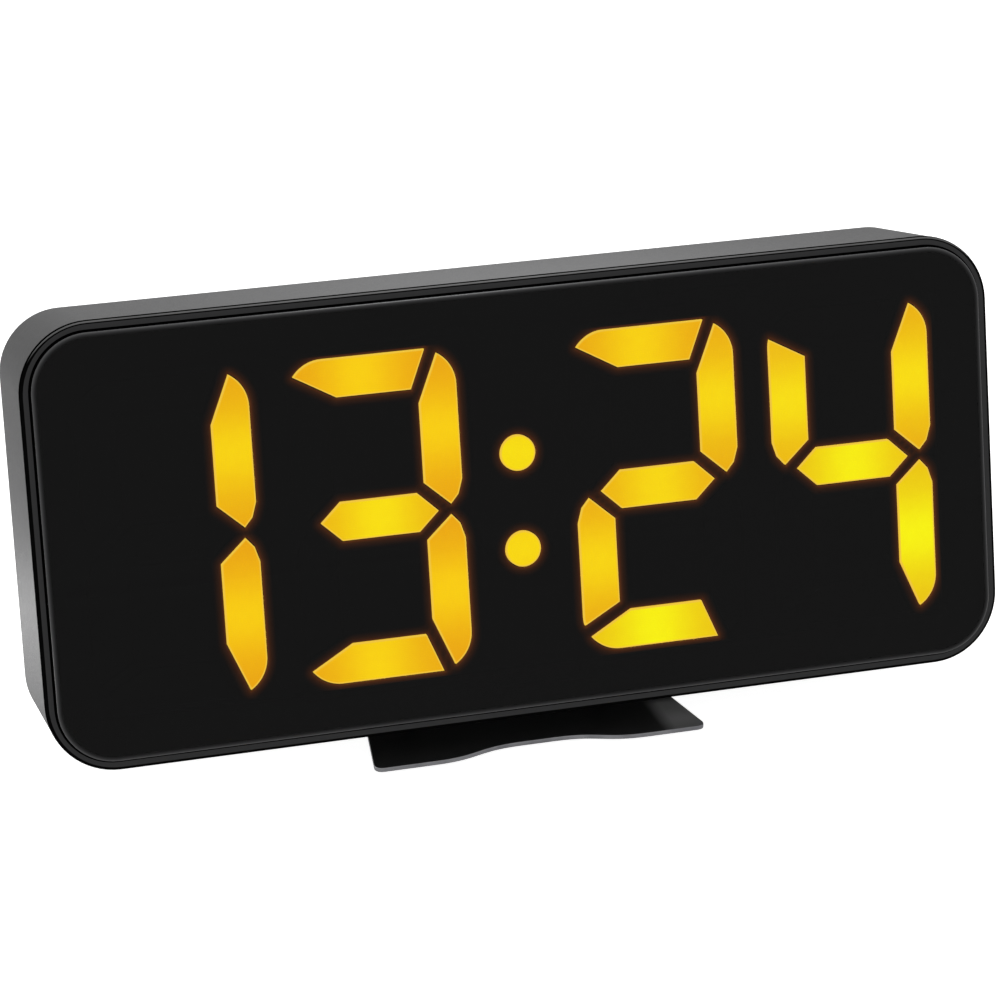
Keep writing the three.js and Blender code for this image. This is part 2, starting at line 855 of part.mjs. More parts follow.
function makeHingeBosses() {
  const floor = -(bodyHeight / 2 - draftAt(pinDepth)) + sideWall / 2;
  return [-1, 1].flatMap((side) => [innerBoss, outerBoss].map((width) => block(
    mirroredSpan(side, width), [pinDepth - bossReach, innerBack + backWall / 2],
    [floor, pinZ + bossReach],
  )));
}

function makeRearCasing() {
  const edgeSections = [];
  for (let step = 0; step <= arcSteps; step += 1) {
    const turn = (step / arcSteps) * quarter;
    edgeSections.push(bodySection(
      bodyDepth - casingBackEdge * (1 - Math.sin(turn)), casingBackEdge * (1 - Math.cos(turn)),
    ));
  }
  const outer = loft([
    bodySection(casingFront, casingFrontEdge),
    bodySection(casingFront + casingFrontEdge, 0),
    ...edgeSections,
  ]);
  const cavity = loft([
    bodySection(casingFront - overrun, sideWall), bodySection(innerBack, sideWall),
  ]);
  const lipEnd = rimDepth + spigotDepth + gap;
  const lipRebate = loft([
    faceSection(casingFront - overrun, lipWall), faceSection(lipEnd, lipWall),
  ]);
  const posts = [
    ...casingScrewPlaces.map(([x, z]) => (
      rodAlongY(casingPostRadius, [screwFloorFront, innerBack + backWall / 2], x, z)
    )),
    ...boardScrewPlaces.map(([x, z]) => (
      rodAlongY(postRadius, [onBoardBack, innerBack + backWall / 2], x, z)
    )),
    ...makeHingeBosses(),
  ];
  const shell = joined([outer.subtract(cavity).subtract(lipRebate), ...posts]);
  return cutFrom(shell, makeCasingCuts());
}

function makeCasingCuts() {
  const throughBack = [innerBack - overrun, bodyDepth + overrun];
  const screwCuts = casingScrewPlaces.flatMap(([x, z]) => [
    rodAlongY(screwRecess, [screwFloorBack, bodyDepth + overrun], x, z),
    rodAlongY(pilotRadius, [screwFloorFront - overrun, bodyDepth], x, z),
  ]);
  const boardPilots = boardScrewPlaces.map(([x, z]) => (
    rodAlongY(pilotRadius, [onBoardBack - overrun, innerBack], x, z)
  ));
  const keyCuts = keyPlaces.map(({ x, z }) => {
    const height = keyHeight + 2 * slidingGap;
    const width = keyWidth + 2 * slidingGap;
    return slab(moved(roundedRectangle(width, height, height / 2, arcSteps), x, z), throughBack);
  });
  const sliderCut = block(
    span(sliderX + sliderTravel / 2, sliderGrip + sliderTravel + 2 * slidingGap),
    throughBack, span(sliderZ, sliderHeight + 2 * slidingGap),
  );
  const inletCut = rodAlongY(inletMouth, throughBack, inletX, inletZ);
  return [
    ...screwCuts, ...boardPilots, ...keyCuts, sliderCut, inletCut,
    ...makeDoorCuts(throughBack), ...makeAirCuts(throughBack), ...makeHingeCuts(),
  ];
}

// The door's stepped hole, and the two notches that its tabs pass through.
function makeDoorCuts(throughBack) {
  const stepFront = doorFlangeFront - gap;
  const seat = rodAlongY(
    doorRadius + gap, [stepFront, bodyDepth + overrun], cellX, cellZ, 2 * roundSides,
  );
  const hole = rodAlongY(doorCoreRadius + gap, throughBack, cellX, cellZ, 2 * roundSides);
  const notches = block(
    span(cellX, doorTabWidth + 2 * gap), throughBack,
    span(cellZ, 2 * (doorCoreRadius + doorTabReach)),
  );
  return [seat, hole, notches];
}

function makeAirCuts(throughBack) {
  const cuts = [rodAlongY(soundHoleRadius, throughBack, buzzerX, buzzerZ)];
  for (let hole = 0; hole < soundHoleCount; hole += 1) {
    const turn = (hole / soundHoleCount) * Math.PI * 2;
    cuts.push(rodAlongY(
      soundHoleRadius, throughBack, buzzerX + soundRingRadius * Math.cos(turn),
      buzzerZ + soundRingRadius * Math.sin(turn),
    ));
  }
  for (let vent = 0; vent < ventCount; vent += 1) {
    const x = across((vent - (ventCount - 1) / 2) * ventPitchShare);
    const z = above(ventUpShare);
    const outline = moved(roundedRectangle(ventLength, ventWidth, ventWidth / 2, 2), x, z);
    cuts.push(slab(outline, throughBack));
  }
  return cuts;
}

// Slots in the bottom wall for the foot's lugs, and the bore for the hinge pin.
function makeHingeCuts() {
  const slots = [-1, 1].map((side) => block(
    mirroredSpan(side, [innerBoss[1], outerBoss[0]]),
    [pinDepth - lugRadius - slotRunFront, pinDepth + lugRadius + slotRunBack],
    [-bodyHeight / 2 - overrun, pinZ + bossReach],
  ));
  const reach = outerBoss[1] + overrun;
  return [...slots, rodAlongX(pinRadius + gap, [-reach, reach], pinDepth, pinZ)];
}

// The body's pieces.

addPiece(body, 'rear_casing', makeRearCasing(), texturedBlack);
addPiece(body, 'front_frame', makeFrontFrame(), glossBlack);
addPiece(body, 'front_lens', makeLens(), smokedLens);
addPiece(body, 'segment_mask', sightSheet([maskFront, maskBack]), matteBlack);
digitSights.forEach((outlines, index) => {
  const diffuser = makeDigitDiffuser(outlines, digitPlaces[index]);
  addPiece(body, `digit_diffuser_${index + 1}`, diffuser, milkyAmber);
});
addPiece(body, 'colon_diffuser', makeColonDiffuser(), milkyAmber);
addPiece(body, 'reflector_block', sightSheet([blockFront, blockBack]), whitePlastic);
addPiece(body, 'led_board', makeLedBoard(), boardGreen);
addPiece(body, 'main_board', makeMainBoard(), boardGreen);
addPiece(body, 'controller_chip', block(
  span(across(chipAcrossShare), chipSide), [onBoardFront - chipTall, onBoardFront],
  span(above(chipUpShare), chipSide),
), chipBlack);
addPiece(body, 'timing_crystal', block(
  span(across(crystalAcrossShare), crystalLength), [onBoardFront - crystalTall, onBoardFront],
  span(above(chipUpShare), crystalWidth),
), brightSteel);
addPiece(body, 'board_header', block(
  span(across(headerAcrossShare), headerLength), [ledBoardBack + gap, onBoardFront],
  span(above(headerUpShare), headerWidth),
), chipBlack);
addPiece(body, 'smoothing_capacitor', rodAlongY(
  capacitorRadius, [onBoardBack, underWall], across(capacitorAcrossShare), above(capacitorUpShare),
), chipBlack);
addPiece(body, 'buzzer', makeBuzzer(), chipBlack);
addPiece(body, 'power_inlet', makeInlet(), chipBlack);
addPiece(body, 'touch_electrode', makeTouchElectrode(), copperFoil);
addPiece(body, 'touch_contact', makeTouchContact(), brightSteel);
addPiece(body, 'cell_holder', makeCellHolder(), chipBlack);
addPiece(body, 'cell_contact', makeCellContact(), brightSteel);
addPiece(body, 'backup_cell', rodAlongY(
  cellRadius, [cellFront, cellBack], cellX, cellZ, 2 * roundSides,
), brightSteel);
addPiece(body, 'battery_door', makeBatteryDoor(), texturedBlack);
keyPlaces.forEach(({ name, x, z }) => {
  addPiece(body, `${name}_key`, makeKeyCap(x, z), keyBlack);
  addPiece(body, `${name}_key_plunger`, makeKeyPlunger(x, z), keyBlack);
  addPiece(body, `${name}_key_switch`, makeKeySwitch(x, z), chipBlack);
});
addPiece(body, 'alarm_slider', makeSlider(), keyBlack);
addPiece(body, 'slide_switch', makeSlideSwitch(), brightSteel);
casingScrewPlaces.forEach(([x, z], index) => {
  const screw = makeScrew(x, z, screwFloorBack + gap, casingScrewLength);
  addPiece(body, `casing_screw_${index + 1}`, screw, brightSteel);
});
displayScrewPlaces.forEach(([x, z], index) => {
  const headFront = ledBoardBack + gap;
  const screw = makeScrew(x, z, headFront, headFront - ledgeBack - gap - displayScrewTipGap);
  addPiece(body, `display_screw_${index + 1}`, screw, brightSteel);
});
boardScrewPlaces.forEach(([x, z], index) => {
  addPiece(body, `board_screw_${index + 1}`, makeBoardScrew(x, z), brightSteel);
});

// The body leans back, with the lower back edge of the casing just above the foot plate.
const edgeY = bodyDepth;
const edgeZ = -(bodyHeight / 2 - draftAt(bodyDepth));
const plateTop = padThickness + plateThickness;
const bodyRise = plateTop + restGap - (edgeZ * Math.cos(lean) - edgeY * Math.sin(lean));
const levelY = (y, z) => y * Math.cos(lean) + z * Math.sin(lean);
const levelZ = (y, z) => bodyRise + z * Math.cos(lean) - y * Math.sin(lean);

// The foot is drawn level, with y still counted from the front of the frame.
const pinLevelY = levelY(pinDepth, pinZ);
const pinLevelZ = levelZ(pinDepth, pinZ);

// The plate's plan: two straight toes, a shallow waist between them, and sides that flare.
function footPlan() {
  const shape = new THREE.Shape();
  const front = -footFrontReach;
  const waist = front + waistDepth;
  const rear = footRearReach;
  const bend = (waistOuter + waistInner) / 2;
  shape.moveTo(waistInner, waist);
  shape.bezierCurveTo(bend, waist, bend, front, waistOuter, front);
  shape.lineTo(footHalfWidth - footCorner, front);
  shape.quadraticCurveTo(footHalfWidth, front, footHalfWidth, front + footCorner);
  shape.lineTo(footRearHalfWidth, rear - footRearCorner);
  shape.quadraticCurveTo(footRearHalfWidth, rear, footRearHalfWidth - footRearCorner, rear);
  shape.lineTo(-footRearHalfWidth + footRearCorner, rear);
  shape.quadraticCurveTo(-footRearHalfWidth, rear, -footRearHalfWidth, rear - footRearCorner);
  shape.lineTo(-footHalfWidth, front + footCorner);
  shape.quadraticCurveTo(-footHalfWidth, front, -footHalfWidth + footCorner, front);
  shape.lineTo(-waistOuter, front);
  shape.bezierCurveTo(-bend, front, -bend, waist, -waistInner, waist);
  return shape;
}

function makeFootPlate() {
  const plan = new THREE.ExtrudeGeometry(footPlan(), {
    depth: plateThickness, bevelEnabled: false, curveSegments: cornerSteps,
  });
  const plate = toSolid(plan.translate(0, 0, padThickness));
  const lugs = [-1, 1].flatMap((side) => {
    const width = mirroredSpan(side, [lugPlace, lugOuter]);
    return [
      block(width, span(pinLevelY, 2 * lugRadius), [plateTop - plateThickness / 2, pinLevelZ]),
      rodAlongX(lugRadius, width, pinLevelY, pinLevelZ),
    ];
  });
  const reach = lugOuter + overrun;
  const bore = rodAlongX(pinRadius + gap, [-reach, reach], pinLevelY, pinLevelZ);
  return joined([plate, ...lugs]).subtract(bore);
}

addPiece(foot, 'foot_plate', makeFootPlate(), paintedSteel);
[['left', -1], ['right', 1]].forEach(([name, side]) => {
  const pad = block(
    span(side * padPlace, padWidth),
    [-footFrontReach + padFrontInset, footRearReach - padRearInset], [0, padThickness],
  );
  addPiece(foot, `${name}_foot_pad`, pad, padRubber);
  const washer = rodAlongX(
    washerRadius, mirroredSpan(side, [washerInner, washerOuter]), pinDepth, pinZ,
  );
  const reach = washerOuter + overrun;
  const bore = rodAlongX(pinRadius + gap, [-reach, reach], pinDepth, pinZ);
  addPiece(body, `${name}_friction_washer`, washer.subtract(bore), brightSteel);
});
const pinEnd = outerBoss[1] + pinOverhang;
addPiece(body, 'hinge_pin', rodAlongX(pinRadius, [-pinEnd, pinEnd], pinDepth, pinZ), brightSteel);

// Everything moves forward by half the clock's depth, so that it stands over the origin.
const backReach = levelY(bodyDepth, bodyHeight / 2 - draftAt(bodyDepth) - casingBackEdge);
const middleY = (backReach - footFrontReach) / 2;
body.rotation.x = -lean;
body.position.set(0, -middleY, bodyRise);
foot.position.set(0, -middleY, 0);

export default clock;
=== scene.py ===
"""Looks of a digital alarm clock with a wide lit display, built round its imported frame.

Lengths are millimetres.  Body pieces are drawn in the body's own leaning axes: x to the right,
y back from the front of the frame, z up the face.  Foot pieces are drawn level.
"""

import json
import math

import bmesh
import bpy
import numpy as np
from mathutils import Matrix, Vector


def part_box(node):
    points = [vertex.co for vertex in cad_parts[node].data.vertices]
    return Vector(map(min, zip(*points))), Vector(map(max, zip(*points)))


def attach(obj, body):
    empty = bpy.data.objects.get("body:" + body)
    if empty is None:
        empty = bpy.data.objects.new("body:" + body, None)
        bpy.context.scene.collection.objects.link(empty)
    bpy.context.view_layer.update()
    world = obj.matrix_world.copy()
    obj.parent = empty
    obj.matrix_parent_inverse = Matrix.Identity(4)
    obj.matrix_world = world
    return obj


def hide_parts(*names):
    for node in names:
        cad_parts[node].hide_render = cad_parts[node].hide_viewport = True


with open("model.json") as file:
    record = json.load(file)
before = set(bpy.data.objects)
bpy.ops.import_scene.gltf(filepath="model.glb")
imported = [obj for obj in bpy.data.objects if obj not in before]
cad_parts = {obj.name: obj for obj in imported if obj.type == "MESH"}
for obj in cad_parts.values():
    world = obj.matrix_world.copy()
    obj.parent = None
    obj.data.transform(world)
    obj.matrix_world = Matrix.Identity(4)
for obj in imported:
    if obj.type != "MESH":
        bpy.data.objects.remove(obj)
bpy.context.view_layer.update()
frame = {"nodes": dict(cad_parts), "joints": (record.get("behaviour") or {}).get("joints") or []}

MM = 0.001

# Axes

LEVEL = Matrix.Scale(MM, 4)


def node_points(node):
    """Every corner of a CAD node, in metres."""
    return [vertex.co.copy() for vertex in frame["nodes"][node].data.vertices]


def joint_axis(name):
    joint = next(j for j in frame["joints"] if j["name"] == name)
    return Vector(joint["axis"]).normalized()


def body_axes():
    """The matrix from body millimetres to the row frame.  The mask's middle fixes its origin."""
    back = -joint_axis("alarm_press")
    right = Vector((1, 0, 0))
    up = right.cross(back)
    turn = Matrix((right, back, up)).transposed().to_4x4()
    low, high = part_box("segment_mask")
    middle = (low + high) / 2
    return Matrix.Translation(middle - turn @ (MASK_MIDDLE * MM)) @ turn @ LEVEL


# The middle of the display mask from the middle of the face, at the front of the frame.
MASK_MIDDLE = Vector((-0.75, 2.55, -0.65))
BODY = body_axes()


def limits(node, axes=BODY):
    """Lowest and highest corner of a CAD node in the given axes, in millimetres."""
    points = [axes.inverted() @ p for p in node_points(node)]
    low = Vector([min(p[i] for p in points) for i in range(3)])
    high = Vector([max(p[i] for p in points) for i in range(3)])
    return low, high


def middle_of(node, axes=BODY):
    low, high = limits(node, axes)
    return (low + high) / 2


# Sizes of the face and casing

FACE_LOW, FACE_HIGH = limits("front_frame")
FACE_WIDTH = FACE_HIGH.x - FACE_LOW.x
FACE_HEIGHT = FACE_HIGH.z - FACE_LOW.z
CORNER = 11.6
RIM_DEPTH = 1.05
RIM_EDGE = 0.55
RIM_BACK_EDGE = 0.15
RIM_CATCH = 0.18  # the front part of the rounding, which carries a painted highlight where it faces up
SPIGOT_END = 4.05
SPIGOT_OUTER = 1.3
SPIGOT_INNER = 2.9
LENS_FRONT, LENS_BACK = [corner.y for corner in limits("front_lens")]
LENS_INSET = limits("front_lens")[0].x - FACE_LOW.x
LENS_CORNER = 9.5
LENS_EDGE = 0.3
LENS_HIGHLIGHT_REACH = 0.85  # how far in the painted highlight on the lens's rim reaches
LENS_GROOVE = 0.35
SEAT_EDGE = 0.15
CASING_FRONT, CASING_BACK = [corner.y for corner in limits("rear_casing")]
CASING_EDGE = 0.15
CASING_ROUND = 1.13
DRAFT = 1.1
SIDE_WALL = 1.8
BACK_WALL = 2.2
LIP_WALL = 1.0
OVERRUN = 1.0  # how far a cutter goes past what it cuts
GAP = 0.3  # clearance round a piece in its seat
NEAR = 0.05  # slack where a face's place picks its finish
HAIR = 0.01  # the same, where two finishes meet closely
FLUSH = 1e-5  # slack where a corner's place picks it
FLAT_ON = 0.995  # how squarely a face looks to the front or back that counts as flat
LEDGE_FRONT = LENS_BACK + GAP
LEDGE_BACK = LEDGE_FRONT + 1.2
MASK_LAP = 0.4
CORNER_STEPS = 16
ROUND_SIDES = 48
SMALL_SIDES = 24
MOUTH_STEPS = 10
STADIUM_FLAT = 0.05  # the straight left between a round end's two corners

# Sizes of the digits

DIGIT_WIDTH = 28.5
DIGIT_HEIGHT = 53.9
STROKE = 6.42
DIGIT_CORNER = 6.2
ARC_STEPS = 10
DOT_RADIUS = 3.0
DOT_PLACE = 8.08
SIGHT_GAP = 0.2  # the clearance round a pad in the mask
MASK_CELL = 0.8
HALO_REACH = 1.7
RIM_BAND = 0.12  # the pale line round a lit pad, at full strength
RIM_WIDTH = 0.3  # where that line has faded out
PAD_STAND = 0.7
PAD_ROOT = 0.25
ON_LINE = 1e-3  # how near an outline still counts as inside it
TIE_BREAK = 1e-4  # the weight of a pad's middle where several pads are as near


# Bmesh pieces

def move(bm, matrix, verts=None):
    bmesh.ops.transform(bm, matrix=matrix, verts=verts or bm.verts[:])


def block(across, deep, tall):
    """A box between two limits on each axis."""
    bm = bmesh.new()
    bmesh.ops.create_cube(bm, size=1)
    low = Vector((across[0], deep[0], tall[0]))
    high = Vector((across[1], deep[1], tall[1]))
    move(bm, Matrix.Translation((low + high) / 2) @ Matrix.Diagonal((high - low).to_4d()))
    return bm


def node_block(node, axes=None):
    """A box over the reach of a CAD node."""
    low, high = limits(node, axes or BODY)
    return block(*zip(low, high))


def bar(width, height, deep, x=0, z=0):
    """A box between two depths, about a middle in x and z."""
    return block((x - width / 2, x + width / 2), deep, (z - height / 2, z + height / 2))


def along_y(edge):
    a, b = edge.verts
    return abs(a.co.x - b.co.x) < FLUSH and abs(a.co.z - b.co.z) < FLUSH


def bevel(bm, edges, offset, steps):
    bmesh.ops.bevel(
        bm, geom=edges, offset=offset, offset_type="OFFSET", segments=steps,
        profile=0.5, affect="EDGES", material=-1, clamp_overlap=False,
    )


def slab(width, height, radius, deep, x=0, z=0, steps=CORNER_STEPS):
    """A rounded rectangle in x and z, between two depths."""
    bm = bar(width, height, deep, x, z)
    bevel(bm, [edge for edge in bm.edges if along_y(edge)], radius, steps)
    return bm


def face_slab(inset, deep, radius=None):
    """A slab with the face's outline, drawn in all round by an inset."""
    corner = CORNER - inset if radius is None else radius
    return slab(FACE_WIDTH - 2 * inset, FACE_HEIGHT - 2 * inset, corner, deep)


def rim_edges(bm, depth):
    """The edges that run round a slab at one depth."""
    return [
        edge for edge in bm.edges
        if all(abs(vertex.co.y - depth) < FLUSH for vertex in edge.verts)
    ]


def rod(radius, deep, x=0, z=0, sides=ROUND_SIDES, back_radius=None):
    """A round bar along y; its back end may have another radius."""
    bm = bmesh.new()
    length = deep[1] - deep[0]
    turn = Matrix.Rotation(-math.pi / 2, 4, "X")
    place = Matrix.Translation((x, deep[0] + length / 2, z))
    far = radius if back_radius is None else back_radius
    bmesh.ops.create_cone(
        bm, cap_ends=True, segments=sides, radius1=radius, radius2=far,
        depth=length, matrix=place @ turn,
    )
    return bm


def pushed_out(bm, faces, way):
    """The bmesh with its faces pushed a way out, closed all round."""
    pushed = bmesh.ops.extrude_face_region(bm, geom=faces)
    verts = [item for item in pushed["geom"] if isinstance(item, bmesh.types.BMVert)]
    bmesh.ops.translate(bm, vec=way, verts=verts)
    bmesh.ops.recalc_face_normals(bm, faces=bm.faces[:])
    return bm


def plate(outline, deep):
    """A flat outline of x and z points, pushed from one depth to another."""
    bm = bmesh.new()
    face = bm.faces.new([bm.verts.new((x, deep[0], z)) for x, z in outline])
    return pushed_out(bm, [face], (0, deep[1] - deep[0], 0))


def mesh_of(name, bm):
    """A mesh that takes over a bmesh."""
    mesh = bpy.data.meshes.new(name)
    bm.to_mesh(mesh)
    bm.free()
    return mesh


def stand(name, data):
    """An object in the scene for a mesh, a lamp or a camera."""
    thing = bpy.data.objects.new(name, data)
    bpy.context.scene.collection.objects.link(thing)
    return thing


def together(pieces):
    """One bmesh that holds every given piece as it is."""
    whole = pieces[0]
    for piece in pieces[1:]:
        mesh = mesh_of("part", piece)
        whole.from_mesh(mesh)
        bpy.data.meshes.remove(mesh)
    return whole


def scratch_object(bm):
    bmesh.ops.recalc_face_normals(bm, faces=bm.faces[:])
    return stand("scratch", mesh_of("scratch", bm))


def combined(base, tool, operation):
    """A boolean of two closed bmeshes, as a new bmesh."""
    body = scratch_object(base)
    cutter = scratch_object(tool)
    modifier = body.modifiers.new("cut", "BOOLEAN")
    modifier.operation = operation
    modifier.solver = "EXACT"
    modifier.object = cutter
    depsgraph = bpy.context.evaluated_depsgraph_get()
    depsgraph.update()
    result = bmesh.new()
    result.from_mesh(body.evaluated_get(depsgraph).to_mesh())
    for piece in (body, cutter):
        mesh = piece.data
        bpy.data.objects.remove(piece)
        bpy.data.meshes.remove(mesh)
    return result


def cut(base, *tools):
    for tool in tools:
        base = combined(base, tool, "DIFFERENCE")
    return base


def joined(base, *tools):
    for tool in tools:
        base = combined(base, tool, "UNION")
    return base


SHARP_ANGLE = 30


def add_piece(name, bm, materials, body, replaced, axes=BODY):
    """A finished piece: placed, shaded, riding on a body and standing for CAD nodes."""
    move(bm, axes)
    bmesh.ops.recalc_face_normals(bm, faces=bm.faces[:])
    mesh = mesh_of(name, bm)
    for material in materials:
        mesh.materials.append(material)
    mesh.shade_smooth()
    mesh.set_sharp_from_angle(angle=math.radians(SHARP_ANGLE))
    piece = stand(name, mesh)
    even = piece.modifiers.new("even normals", "WEIGHTED_NORMAL")
    even.keep_sharp = True
    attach(piece, body)
    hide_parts(*replaced)


# Surface effects, each a node group that several materials use

def new_group(name, vectors, numbers, outputs):
    """A node group, the sockets that it reads and the node that takes what it gives."""
    group = bpy.data.node_groups.new(name, "ShaderNodeTree")
    for socket in vectors:
        group.interface.new_socket(name=socket, in_out="INPUT", socket_type="NodeSocketVector")
    for socket, value in numbers.items():
        made = group.interface.new_socket(
            name=socket, in_out="INPUT", socket_type="NodeSocketFloat",
        )
        made.default_value = value
    for socket in outputs:
        group.interface.new_socket(name=socket, in_out="OUTPUT", socket_type="NodeSocketFloat")
    source = group.nodes.new("NodeGroupInput")
    return group, source.outputs, group.nodes.new("NodeGroupOutput")


def feed(tree, node, inputs):
    """Sets a node's inputs: a link for each socket given, and a plain value for the rest."""
    for name, value in inputs.items():
        if isinstance(value, bpy.types.NodeSocket):
            tree.links.new(value, node.inputs[name])
        else:
            node.inputs[name].default_value = value
    return node


def add_node(tree, kind, inputs=None, **settings):
    node = tree.nodes.new(kind)
    for name, value in settings.items():
        setattr(node, name, value)
    return feed(tree, node, inputs or {})


def noise(tree, vector, scale, detail=3.0):
    made = add_node(
        tree, "ShaderNodeTexNoise", {"Vector": vector, "Scale": scale, "Detail": detail},
    )
    return made.outputs["Fac"]


def stretch(tree, value, low, high, to_low=0.0, to_high=1.0):
    made = add_node(tree, "ShaderNodeMapRange", {
        "Value": value, "From Min": low, "From Max": high, "To Min": to_low, "To Max": to_high,
    })
    return made.outputs["Result"]


def maths(tree, operation, first, second):
    made = add_node(tree, "ShaderNodeMath", {0: first, 1: second}, operation=operation)
    return made.outputs[0]


def make_grain():
    """Spark-eroded mould texture: fine pits on a slower mottle."""
    group, given, result = new_group(
        "moulded grain", ["Vector"], {"Pits": 3500.0, "Mottle": 500.0}, ["Height", "Cloud"],
    )
    pits = noise(group, given["Vector"], given["Pits"], 2.0)
    mottle = noise(group, given["Vector"], given["Mottle"], 4.0)
    slow = maths(group, "MULTIPLY", mottle, 0.4)
    feed(group, result, {
        "Height": maths(group, "ADD", stretch(group, pits, 0.3, 0.7), slow),
        "Cloud": stretch(group, mottle, 0.3, 0.7),
    })
    return group


def make_upward_highlight():
    """A painted highlight on what faces up, a little uneven."""
    group, given, result = new_group(
        "painted upward highlight", ["Vector", "Normal"], {"Amount": 0.5, "Start": 0.86}, ["Painted Light"],
    )
    parts = add_node(group, "ShaderNodeSeparateXYZ", {"Vector": given["Normal"]})
    full = maths(group, "ADD", given["Start"], 0.12)
    upward = stretch(group, parts.outputs["Z"], given["Start"], full)
    patches = stretch(group, noise(group, given["Vector"], 180.0), 0.25, 0.75, 0.75, 1.0)
    painted_share = maths(group, "MULTIPLY", upward, patches)
    feed(group, result, {"Painted Light": maths(group, "MULTIPLY", painted_share, given["Amount"])})
    return group


def make_brushing():
    """Fine drawn lines along x, for plated and cut metal."""
    group, given, result = new_group(
        "drawn lines", ["Vector"], {"Scale": 900.0}, ["Height", "Cloud"],
    )
    drawn = add_node(group, "ShaderNodeMapping", {
        "Vector": given["Vector"], "Scale": (0.06, 1.0, 1.0),
    })
    cloud = noise(group, given["Vector"], 300.0, 2.0)
    feed(group, result, {
        "Height": noise(group, drawn.outputs["Vector"], given["Scale"], 3.0),
        "Cloud": stretch(group, cloud, 0.3, 0.7),
    })
    return group


GRAIN = make_grain()
UPWARD_HIGHLIGHT = make_upward_highlight()
BRUSHING = make_brushing()


def use_group(tree, group, inputs):
    return add_node(tree, "ShaderNodeGroup", inputs, node_tree=group).outputs


def start_material(name, metallic=0.0, specular=0.5):
    """A material with its shader, and its tree and object coordinates to build on."""
    material = bpy.data.materials.new(name)
    material.use_nodes = True
    tree = material.node_tree
    shader = tree.nodes["Principled BSDF"]
    feed(tree, shader, {"Metallic": metallic, "Specular IOR Level": specular})
    return material, tree, shader, add_node(tree, "ShaderNodeTexCoord").outputs["Object"]


def blended(tree, first, second, share):
    """A colour between two, by a share that changes over the surface."""
    ends = [
        end if isinstance(end, bpy.types.NodeSocket) else (*end, 1.0) for end in (first, second)
    ]
    node = add_node(tree, "ShaderNodeMix", {0: share, 6: ends[0], 7: ends[1]}, data_type="RGBA")
    return node.outputs[2]


def bumped(tree, height, depth):
    """The surface's direction, raised by a height map; depth is in metres."""
    bump = add_node(tree, "ShaderNodeBump", {"Height": height, "Distance": depth})
    return bump.outputs["Normal"]


def moulded(name, dark, light, roughness, depth, pits=3500.0, mottle=500.0, specular=0.5,
            top_highlight=0.0, top_highlight_colour=(0.3, 0.3, 0.3), top_highlight_start=0.86):
    """Moulded plastic or rubber: grain in relief, mottled colour and, where asked, a painted
    highlight on what faces up.
    """
    material, tree, shader, place = start_material(name, specular=specular)
    grain = use_group(tree, GRAIN, {"Vector": place, "Pits": pits, "Mottle": mottle})
    colour = blended(tree, dark, light, grain["Cloud"])
    # The painted highlight: lighter colour on faces that tilt up.
    if top_highlight:
        facing = add_node(tree, "ShaderNodeNewGeometry").outputs["Normal"]
        painted_share = use_group(tree, UPWARD_HIGHLIGHT, {
            "Vector": place, "Normal": facing, "Amount": top_highlight, "Start": top_highlight_start,
        })
        colour = blended(tree, colour, top_highlight_colour, painted_share["Painted Light"])
    feed(tree, shader, {
        "Base Color": colour,
        "Roughness": stretch(tree, grain["Cloud"], 0.0, 1.0, *roughness),
        "Normal": bumped(tree, grain["Height"], depth),
    })
    return material


def plated(name, dark, light, roughness, depth, scale=900.0):
    """Plated, drawn or cut metal with fine lines."""
    material, tree, shader, place = start_material(name, metallic=1.0)
    lines = use_group(tree, BRUSHING, {"Vector": place, "Scale": scale})
    feed(tree, shader, {
        "Base Color": blended(tree, dark, light, lines["Cloud"]),
        "Roughness": stretch(tree, lines["Height"], 0.3, 0.7, *roughness),
        "Normal": bumped(tree, lines["Height"], depth),
    })
    return material


# The lit display's materials

# Near-black: the mask film's own colour, also used as painted shade on unlit pads, in gaps and
# behind the lens.
DEEP_BLACK = ((0.001, 0.001, 0.001), (0.0014, 0.0014, 0.0014))
LENS_TINT = 0.03
LENS_SHEEN = (0.2, 0.2, 0.2, 1.0)
LAMP_STRENGTH = 1 / LENS_TINT
PAD_FADE_REACH = 12.0
PAD_FADE_ACROSS = 0.45  # how much of a step across counts, beside one along
PAD_RIM_COLOUR = (0.86, 0.55, 0.05)
HALO_COLOUR = (0.118, 0.028, 0.001)


def attribute(tree, name):
    return add_node(tree, "ShaderNodeAttribute", attribute_name=name).outputs["Fac"]


def ramp(tree, value, stops, smooth=False):
    """A grey ramp through (place, level) stops."""
    node = add_node(tree, "ShaderNodeValToRGB", {"Fac": value})
    band = node.color_ramp
    band.interpolation = "B_SPLINE" if smooth else "LINEAR"
    band.elements[0].position = stops[0][0]
    band.elements[1].position = stops[-1][0]
    for place, _ in stops[1:-1]:
        band.elements.new(place)
    for element, (_, level) in zip(band.elements, stops):
        element.color = (level, level, level, 1.0)
    return node.outputs["Color"]


